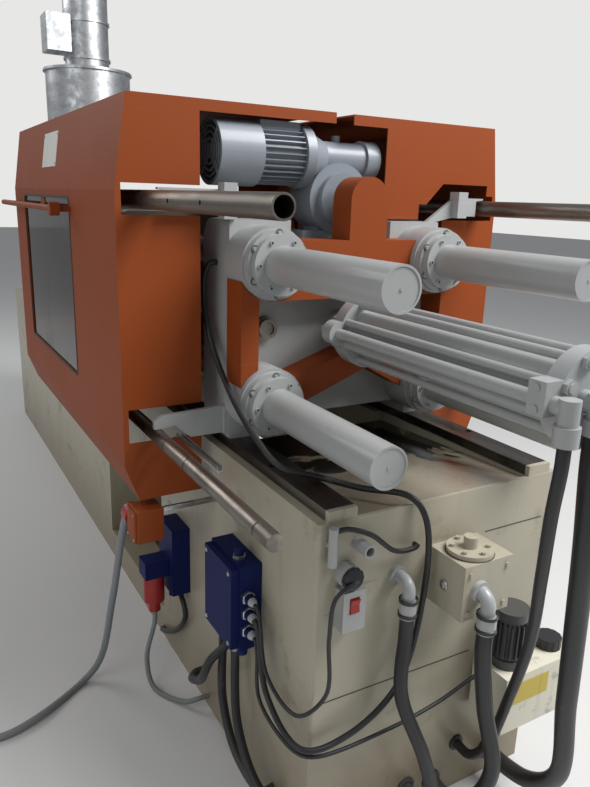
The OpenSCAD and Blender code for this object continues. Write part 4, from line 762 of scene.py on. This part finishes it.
@dataclass
class Studio:
    """Floor, lamps, backdrop and the camera at the photograph's viewing angle."""

    eye: Vec3 = (3.181, -1.095, 1.580)
    right: Vec3 = (0.49478311, 0.8684793, 0.03055131)
    up: Vec3 = (-0.25011816, 0.10865064, 0.96209976)
    back: Vec3 = (0.8322443, -0.48367215, 0.27098095)
    focal_pixels: float = 691.78
    frame_height: float = 787.0
    sensor: float = 36.0
    pale: Vec3 = (0.80, 0.80, 0.79)

    def camera(self) -> None:
        """Puts the camera where the photographer stood."""
        data = bpy.data.cameras.new("camera")
        data.sensor_fit = "VERTICAL"
        data.sensor_height = self.sensor
        data.lens = self.focal_pixels / self.frame_height * self.sensor
        data.clip_end = 60
        eye = bpy.data.objects.new("camera", data)
        rows = [[self.right[i], self.up[i], self.back[i], self.eye[i]] for i in range(3)]
        eye.matrix_world = Matrix(rows + [[0, 0, 0, 1]])
        bpy.context.scene.collection.objects.link(eye)
        bpy.context.scene.camera = eye

    def lamp(self, name: str, at: Vec3, towards: Vec3, size: float, power: float) -> None:
        """Hangs a soft square lamp.

        Args:
            name: the lamp's name.
            at: where it hangs.
            towards: the point it faces.
            size: its edge in metres.
            power: its power in watts.
        """
        data = bpy.data.lights.new(name, "AREA")
        data.size = size
        data.energy = power
        lamp = bpy.data.objects.new(name, data)
        b = basis(np.asarray(at) - np.asarray(towards))
        lamp.matrix_world = Matrix([[b[0][i], b[1][i], b[2][i], at[i]] for i in range(3)] + [[0, 0, 0, 1]])
        bpy.context.scene.collection.objects.link(lamp)

    def world(self) -> None:
        """A pale even backdrop, dimmer as light than as seen."""
        world = bpy.data.worlds.new("studio")
        bpy.context.scene.world = world
        world.use_nodes = True
        world.node_tree.nodes.clear()
        s = Shader(world.node_tree)
        seen = s.node("LightPath").outputs["Is Camera Ray"]
        dim = s.node("Background", {"Color": rgba((0.78, 0.80, 0.83)), "Strength": 0.36})
        bright = s.node("Background", {"Color": rgba(self.pale), "Strength": 1.0})
        mix = s.node("MixShader", {0: seen, 1: dim.outputs[0], 2: bright.outputs[0]})
        s.node("OutputWorld", {0: mix.outputs[0]})

    def floor(self) -> None:
        """A plain pale floor under everything."""
        size = 30.0
        corners = np.array([[-size, -size, 0], [size, -size, 0], [size, size, 0], [-size, size, 0]], float)
        floor = new_piece("studio_floor", corners, [[0, 1, 2, 3]])
        material = bpy.data.materials.new("studio_floor")
        material.use_nodes = True
        skin = material.node_tree.nodes["Principled BSDF"]
        skin.inputs["Base Color"].default_value = rgba((0.66, 0.66, 0.65))
        skin.inputs["Roughness"].default_value = 0.6
        floor.data.materials.append(material)

    def build(self) -> None:
        """Sets up the whole studio."""
        self.camera()
        self.world()
        self.floor()
        self.lamp("key", (3.4, 2.2, 4.6), (0.9, 0.0, 1.1), 2.6, 330)
        self.lamp("fill", (2.6, -4.2, 3.0), (0.6, 0.0, 0.9), 3.2, 36)
        self.lamp("far_fill", (-3.5, -3.0, 4.5), (-0.6, 0.0, 1.2), 3.0, 90)
        bpy.context.scene.view_settings.view_transform = "Standard"


# Hoses and cables


MATERIALS: dict[Finish, Material] = {}


def dress(piece: Object, finish: Finish) -> None:
    """Gives a piece its one finish.

    Args:
        piece: the piece.
        finish: the finish, made on its first use.
    """
    if finish not in MATERIALS:
        MATERIALS[finish] = finish.make()
    piece.data.materials.clear()
    piece.data.materials.append(MATERIALS[finish])


def add(solid: Solid, name: str, finish: Finish, body: str = "root") -> Object:
    """Makes a grown solid a piece, dresses it and lets it ride on a body.

    Args:
        solid: the shapes.
        name: the piece's name.
        finish: its finish.
        body: the CAD body it rides on.

    Returns:
        The finished piece.
    """
    piece = solid.piece(name)
    dress(piece, finish)
    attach(piece, body)
    LOG.info("%s: %d faces on %s", name, len(piece.data.polygons), body)
    return piece


@dataclass(frozen=True)
class Cord:
    """One hose or cable on its route, in millimetres."""

    name: str
    node: str
    radius: float
    route: tuple
    finish: Finish = HOSE
    body: str = "root"
    far_end: str = "object"
    stiffness: str = "medium"
    lay: str = "hanging"

    def build(self, plug: Optional[Object] = None) -> None:
        """Args:
            plug: the piece on its far end, if it has one; not used.
        """
        path = smooth_path(np.asarray(self.route, float) / 1000)
        solid = Solid()
        solid.tube(path, self.radius / 1000)
        piece = add(solid, self.name, self.finish, self.body)
        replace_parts(piece, self.node)
        length = float(np.linalg.norm(np.diff(path, axis=0), axis=1).sum())
        LOG.info("%s is %.2f m long", self.name, length)


GLAND = -407.5
SIDE = -367.5
CORDS = [
    Cord("return_hose_near", "return_hoses", 17, (
        (2102, -148, 654), (2102, -148, 600), (2120, -162, 460), (2160, -110, 290), (2150, -60, 130),
        (2090, -60, 80), (2050, -60, 80)), stiffness="stiff"),
    Cord("return_hose_far", "return_hoses", 20, (
        (2208, -2, 633), (2208, -2, 580), (2210, 24, 420), (2225, 60, 220), (2180, 45, 100),
        (2110, 30, 60), (2050, 30, 60)), stiffness="stiff"),
    Cord("drain_hose", "return_hoses", 6, (
        (2066, -329, 896), (2066, -305, 896), (2078, -250, 876), (2078, -180, 820), (2072, -125, 808),
        (2062, -100, 806), (2050, -100, 806))),
    Cord("clamp_hose_thin", "clamp_hoses", 13, (
        (2424, -102, 1175), (2424, -102, 1130), (2410, -92, 1035), (2375, -50, 875), (2300, 40, 655),
        (2225, 92, 440), (2150, 110, 210), (2100, 110, 150), (2050, 110, 150)), body="tail",
        stiffness="stiff"),
    Cord("clamp_hose_thick", "clamp_hoses", 23, (
        (2430, -25, 1186), (2430, -25, 1135), (2424, 0, 955), (2396, 50, 775), (2360, 115, 505),
        (2315, 190, 230), (2200, 230, 100), (2110, 230, 80), (2050, 230, 80)), body="tail",
        stiffness="stiff"),
    Cord("conduit_front", "black_cables", 12, (
        (1640, GLAND, 424), (1640, GLAND, 380), (1680, -425, 220), (1780, -425, 110), (1880, -400, 70),
        (1880, SIDE, 70))),
    Cord("conduit_rear", "black_cables", 12, (
        (1720, GLAND, 424), (1720, GLAND, 380), (1790, -432, 230), (1900, -430, 130), (2000, -400, 90),
        (2000, SIDE, 90))),
    Cord("conduit_side", "black_cables", 12, (
        (1680, GLAND, 424), (1680, GLAND - 6, 398), (1672, -456, 360), (1640, -462, 300), (1550, -440, 200),
        (1430, -420, 120), (1400, -392, 110), (1400, SIDE, 110))),
    Cord("loop_cable", "black_cables", 9, (
        (1050, SIDE, 318), (1050, -379, 318), (1095, -382, 316), (1210, -382, 310), (1280, -382, 250),
        (1210, -382, 150), (1080, -382, 60), (1030, -379, 40), (1030, SIDE, 40))),
    Cord("guard_cable", "black_cables", 7.5, (
        (1450, -344.3, 1410), (1450, -362, 1410), (1440, -374, 1380), (1440, -376, 1300),
        (1490, -376, 1200), (1620, -376, 1085), (1770, -374, 1010), (1845, -350, 968),
        (1890, -275, 946), (1955, -195, 928), (2048, -120, 928), (2074, -92, 880),
        (2082, -84, 700), (2086, -150, 450), (2082, -290, 360),
        (2060, -395, 350), (1900, -405, 390), (1850, GLAND, 550), (1836, GLAND, 560), (1816, GLAND, 560))),
    Cord("tank_cable", "black_cables", 5, (
        (2095, 130, 395), (2095, 104, 395), (2085, 0, 352), (2085, -160, 332), (2075, -372, 332),
        (2040, -402, 332), (1868, -408, 352), (1848, GLAND, 480), (1836, GLAND, 510), (1816, GLAND, 510)),
        stiffness="limp"),
    Cord("plug_cable", "black_cables", 5, (
        (2080, -296, 782), (2096, -296, 782), (2096, -345, 755), (2086, -352, 650), (2084, -352, 500),
        (2040, -398, 430), (1905, -408, 450), (1856, GLAND, 590), (1838, GLAND, 605), (1816, GLAND, 605)),
        stiffness="limp"),
    Cord("side_cable", "grey_cables", 8, (
        (1228, -470, 262), (1228, -470, 220), (1225, -500, 80), (1290, -500, 14), (1400, -440, 14),
        (1440, -405, 40), (1440, SIDE, 40)), finish=GREY_SHEATH, lay="loose"),
    Cord("floor_cable", "grey_cables", 11, (
        (1352, -572, 690), (1328, -572, 690), (1285, -580, 600), (1225, -605, 340), (1150, -640, 70),
        (1150, -690, 14), (1260, -860, 14), (1290, -960, 12), (1275, -1040, 14), (1270, -1080, 29),
        (1270, -1110, 29)), finish=GREY_SHEATH, far_end="plug", lay="loose"),
]


# The machine


@dataclass
class RearFace:
    """Grommets, seams and plugs of the bed's end wall, and bands and a gasket on its fittings."""

    wall: float = 2050.0
    hose_ends: tuple = ((-60, 80, 17), (30, 60, 20), (110, 150, 13), (230, 80, 23))
    bands: tuple = ((2102, -148, 698, 20.3), (2102, -148, 662, 20.3),
                    (2208, -2, 677, 23.0), (2208, -2, 641, 23.0))
    joints: tuple = ((-345, 120, 447, 439), (131, 332, 783, 783))
    seam_width: float = 3.0
    seam_height: float = 0.6
    socket: Vec3 = (2080.0, -296.0, 782.0)
    rib_circle: float = 25.4
    blind: Vec3 = (2112.0, -50.0, 716.0)
    flange: Vec3 = (2116.0, 16.0, 789.6)

    def grommets(self) -> None:
        """Rubber rings where the hoses go into the wall."""
        solid = Solid()
        for y, z, r in self.hose_ends:
            solid.ring([(0, r + 0.3), (0, r + 10), (5, r + 10), (9, r + 5), (9, r + 0.3)],
                       mm(self.wall, y, z), Axis.X)
        add(solid, "hose_grommets", HOSE)

    def elbow_bands(self) -> None:
        """Two black bands round the collar of each return elbow."""
        solid = Solid()
        for x, y, z, r in self.bands:
            solid.ring([(-5, r + 0.1), (-4, r + 2.4), (4, r + 2.4), (5, r + 0.1)], mm(x, y, z), Axis.Z)
        add(solid, "elbow_bands", BLACK_PLASTIC)

    def seams(self) -> None:
        """Sealant along the joints of the wall's panels."""
        solid = Solid()
        up = mm(0, 0, self.seam_width)
        for y0, y1, z0, z1 in self.joints:
            low, high = mm(self.wall, y0, z0), mm(self.wall, y1, z1)
            solid.slab(np.array([low, high, np.add(high, up), np.add(low, up)]), mm(self.seam_height, 0, 0))
        add(solid, "wall_seams", SEAM)

    def plugs(self) -> None:
        """The black plug in the round socket and its ribs, and a blind plug in the suction box."""
        solid = Solid()
        x, y, z = self.socket
        solid.turned([(0, 0.0255), (0.010, 0.0255), (0.013, 0.019), (0.017, 0.008), (0.022, 0.0062),
                      (0.022, 0)], mm(x, y, z), (1, 0, 0))
        for k in range(12):
            a = math.radians(30 * k)
            at = mm(x + 1.5, y + self.rib_circle * math.cos(a), z + self.rib_circle * math.sin(a))
            solid.head(at, Axis.X, 1, 2.2, 8, 10)
        add(solid, "socket_plug", BLACK_PLASTIC)
        solid = Solid()
        x, y, z = self.blind
        solid.head(mm(x, y, z), Axis.Y, -1, 13, 6)
        solid.head(mm(x, y - 6, z), Axis.Y, -1, 7.5, 4, 6)
        add(solid, "blind_plug", BRIGHT)

    def gasket(self) -> None:
        """A dark gasket under the suction flange."""
        solid = Solid()
        solid.ring([(0, 20), (0, 58), (2, 58), (2, 20)], mm(*self.flange), Axis.Z, sides=64)
        add(solid, "flange_gasket", SEAM)

    def build(self) -> None:
        """Makes every fitting of the wall."""
        self.grommets()
        self.elbow_bands()
        self.seams()
        self.plugs()
        self.gasket()


@dataclass
class JunctionBox:
    """Screws, gland nuts and tapered noses of the blue box."""

    left: float = 1612.0
    right: float = 1792.0
    low: float = 452.0
    top: float = 692.0
    lid: float = -451.5
    inset: float = 20.0
    under: tuple = (28, 68, 108, 152)
    over: float = 128.0
    behind: tuple = ((510, 5.0), (560, 7.5), (605, 5.0))
    gland_behind: float = 24.0
    gland_under: float = 28.0

    def screws(self) -> None:
        """Four lid screws."""
        solid = Solid()
        for x in (self.left + self.inset, self.right - self.inset):
            for z in (self.low + self.inset, self.top - self.inset):
                solid.head(mm(x, self.lid, z), Axis.Y, -1, 6, 3.5)
        add(solid, "box_lid_screws", BRIGHT)

    def nuts(self) -> None:
        """A hexagon nut at the foot of each gland."""
        solid = Solid()
        nut = [(0, 12), (0, 19), (8, 19), (9, 17), (9, 12)]
        for z, _ in self.behind:
            solid.ring(nut, mm(self.right, GLAND, z), Axis.X, sides=6)
        for x in self.under:
            solid.ring(nut, mm(self.left + x, GLAND, self.low), Axis.Z, -1, sides=6)
        at = mm(self.left + self.over, GLAND, self.top)
        solid.ring([(d, r - 1) for d, r in nut], at, Axis.Z, sides=6)
        add(solid, "gland_nuts", BRIGHT)

    def noses(self) -> None:
        """Tapered strain reliefs where the cables leave the glands."""
        solid = Solid()
        for z, r in self.behind:
            solid.ring([(0, r + 0.3), (0, 12), (5, 12), (18, r + 1.8), (18, r + 0.3)],
                       mm(self.right + self.gland_behind, GLAND, z), Axis.X)
        for x in self.under[:3]:
            solid.ring([(0, 12.3), (0, 16), (6, 16), (16, 13.8), (16, 12.3)],
                       mm(self.left + x, GLAND, self.low - self.gland_under), Axis.Z, -1)
        add(solid, "gland_noses", GREY_PLASTIC)

    def build(self) -> None:
        """Makes every fitting of the box."""
        self.screws()
        self.nuts()
        self.noses()


@dataclass
class Gate:
    """The window seal of one sliding guard, and a bare plate with rivets on the near one."""

    side: int
    body: str
    wall: float = 621.0
    crease: float = 1587.0
    top: float = 1809.0
    lean: float = 34.0
    plate: tuple = (556, 774, 1657, 1766)
    plate_thick: float = 1.4
    rivet_inset: float = 9.0
    window_low: tuple = (212, 1017)
    window_high: tuple = (980, 1559)

    def slope(self, x: float, z: float) -> Vec3:
        """A point on the guard's leaning upper band, in metres."""
        rise = (z - self.crease) / (self.top - self.crease)
        return mm(x, self.side * (self.wall - self.lean * rise), z)

    def name_plate(self) -> None:
        """A bare plate on the leaning band, with a rivet in each corner."""
        out = np.array([0, self.side * (self.top - self.crease), self.lean])
        out = out / np.linalg.norm(out)
        x0, x1, z0, z1 = self.plate
        corners = [self.slope(x, z) for x, z in ((x0, z0), (x1, z0), (x1, z1), (x0, z1))]
        solid = Solid()
        solid.slab(np.array(corners), out * mm(self.plate_thick)[0])
        add(solid, "name_plate", PLATE, self.body)
        solid = Solid()
        for x in (x0 + self.rivet_inset, x1 - self.rivet_inset):
            for z in (z0 + self.rivet_inset, z1 - self.rivet_inset):
                at = np.asarray(self.slope(x, z)) + out * mm(self.plate_thick - 0.1)[0]
                solid.turned([(0, 0.004), (0.001, 0.0036), (0.0018, 0.002), (0.002, 0)], tuple(at), out, 16)
        add(solid, "plate_rivets", BRIGHT, self.body)

    def window_seal(self) -> None:
        """A rubber seal round the window."""
        solid = Solid()
        y0, y1 = mm(self.side * self.wall, self.side * (self.wall + 1.6))
        solid.seal(mm(*self.window_low), mm(*self.window_high), 0.017, 0.007, y0, y1)
        add(solid, f"{self.body}_seal", SEAM, self.body)

    def build(self) -> None:
        """Makes the guard's fittings."""
        self.window_seal()
        if self.side < 0:
            self.name_plate()


@dataclass
class LimitBox:
    """The orange limit switch box on its bright carrier bar."""

    low: Vec3 = (1424.0, -606.0, 655.0)
    high: Vec3 = (1500.0, -522.0, 752.0)
    lid: float = 6.0
    inset: float = 12.0
    bar: float = 14.0

    def build(self) -> None:
        """Makes the box with its lid and screws, and the bar, in place of the CAD solid."""
        (x0, y0, z0), (x1, y1, z1) = self.low, self.high
        solid = Solid()
        solid.block(mm(x0, y0 + self.lid, z0), mm(x1, y1, z1), 0.005)
        solid.block(mm(x0 + 3, y0, z0 + 3), mm(x1 - 3, y0 + self.lid + 1, z1 - 3), 0.003)
        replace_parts(add(solid, "limit_box", ORANGE), "limit_switch_box")
        solid = Solid()
        for x in (x0 + self.inset, x1 - self.inset):
            for z in (z0 + self.inset, z1 - self.inset):
                solid.head(mm(x, y0, z), Axis.Y, -1, 4, 2)
        add(solid, "limit_box_screws", BRIGHT)
        solid = Solid()
        solid.block(mm(x1 - self.bar, y1, z1 - self.bar), mm(x1 - 4, SIDE, z1), 0.001)
        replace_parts(add(solid, "limit_box_bar", BRIGHT), "limit_switch_box")


@dataclass
class FloorPlug:
    """Ribs, boot and pins of the plug that lies on the floor."""

    middle: tuple = (1270, 29)
    back: float = -1110.0
    front: float = -1200.0
    ribs: tuple = (-1180, -1115, 9)
    pin_circle: float = 15.0

    def build(self) -> Object:
        """Makes the plug's ribs, its boot and its pins.

        Returns:
            The ribbed grip, which the cable ends in.
        """
        x, z = self.middle
        solid = Solid()
        for y in range(*self.ribs):
            solid.ring([(0, 27.5), (0, 28.8), (4, 28.8), (4, 27.5)], mm(x, y, z), Axis.Y)
        solid.ring([(0, 11.3), (0, 19), (10, 17), (24, 12.6), (24, 11.3)], mm(x, self.back, z), Axis.Y)
        grip = add(solid, "floor_plug_grip", RED_PLASTIC)
        solid = Solid()
        for k in range(5):
            a = math.radians(72 * k + 90)
            solid.turned([(0, 0.003), (0.014, 0.003), (0.016, 0.002), (0.0165, 0)],
                         mm(x + self.pin_circle * math.cos(a), self.front,
                            z + self.pin_circle * math.sin(a)), (0, -1, 0), 16)
        add(solid, "floor_plug_pins", BRIGHT)
        return grip


@dataclass
class Tank:
    """The lubrication tank's bare label."""

    face: float = 2180.0
    low: tuple = (142, 346)
    high: tuple = (286, 408)
    thick: float = 0.8

    def build(self) -> None:
        """Lays the label on the tank's face."""
        solid = Solid()
        solid.block(mm(self.face, *self.low), mm(self.face + self.thick, *self.high), 0.0003, 1)
        add(solid, "tank_label", LABEL)


@dataclass
class CoverScrews:
    """Washers of the screws on the four tie-bar covers, and dark discs on the flange screws as painted
    shade in their sockets.
    """

    across: float = 267.0
    up: float = 181.0
    axis: float = 1240.0
    ring: tuple = (1656.0, 77.0)
    flange: tuple = (1681.0, 63.0)

    def build(self) -> None:
        """Makes a washer round each ring screw and a dark disc, painted shade of the socket, on each flange
        screw.
        """
        washers, sockets = Solid(), Solid()
        for y in (-self.across, self.across):
            for z in (self.axis - self.up, self.axis + self.up):
                for k in range(6):
                    a = math.radians(60 * k)
                    b = a + math.radians(30)
                    x, r = self.flange
                    # A thin dark hexagon stands in for the socket: painted shade of its hollow
                    sockets.head(mm(x, y + r * math.cos(a), z + r * math.sin(a)), Axis.X, 1, 3.4, 0.3, 6)
                    x, r = self.ring
                    washers.ring([(0, 7.6), (0, 10.5), (1.2, 10.2), (1.2, 7.6)],
                                 mm(x, y + r * math.cos(b), z + r * math.sin(b)), Axis.X, sides=20)
        add(washers, "cover_washers", FORGED, "tail")
        add(sockets, "cover_socket_shade", BLACK_PLASTIC, "tail")


@dataclass
class LowerRail:
    """The narrow steel channel beside the near lower guard bar."""

    low: Vec3 = (1532.0, -495.0, 962.0)
    high: Vec3 = (1800.0, -480.0, 976.0)
    sheet: float = 2.5

    def build(self) -> None:
        """Makes the channel with its two lips."""
        (x0, y0, z0), (x1, y1, z1) = self.low, self.high
        solid = Solid()
        solid.block(mm(x0, y0, z0), mm(x1, y1, z0 + 3), 0.0008, 2)
        for y in (y0, y1 - self.sheet):
            solid.block(mm(x0, y, z0 + 2), mm(x1, y + self.sheet, z1), 0.0008, 2)
        add(solid, "lower_rail", BRIGHT, "tail")


@dataclass
class Machine:
    """The CAD nodes, dressed in their finishes."""

    finishes: dict = field(default_factory=lambda: NODE_FINISH)

    def build(self) -> None:
        """Dresses every CAD node."""
        for finish, nodes in self.finishes.items():
            for name in nodes:
                dress(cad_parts[name], finish)
        left = set(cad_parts) - set(sum(self.finishes.values(), []))
        if left:
            raise ValueError(f"nodes without a finish: {sorted(left)}")


def main() -> None:
    """Builds the studio, the dressed CAD nodes, every sub-assembly and the cords, in that order."""
    logging.basicConfig(level=logging.INFO, format="%(name)s %(message)s")
    Studio().build()
    Machine().build()
    RearFace().build()
    JunctionBox().build()
    Gate(-1, "near_gate").build()
    Gate(1, "far_gate").build()
    LimitBox().build()
    Tank().build()
    CoverScrews().build()
    LowerRail().build()
    plug = FloorPlug().build()
    for cord in CORDS:
        cord.build(plug if cord.far_end == "plug" else None)
    bpy.context.view_layer.update()


if __name__ == "__main__":
    main()
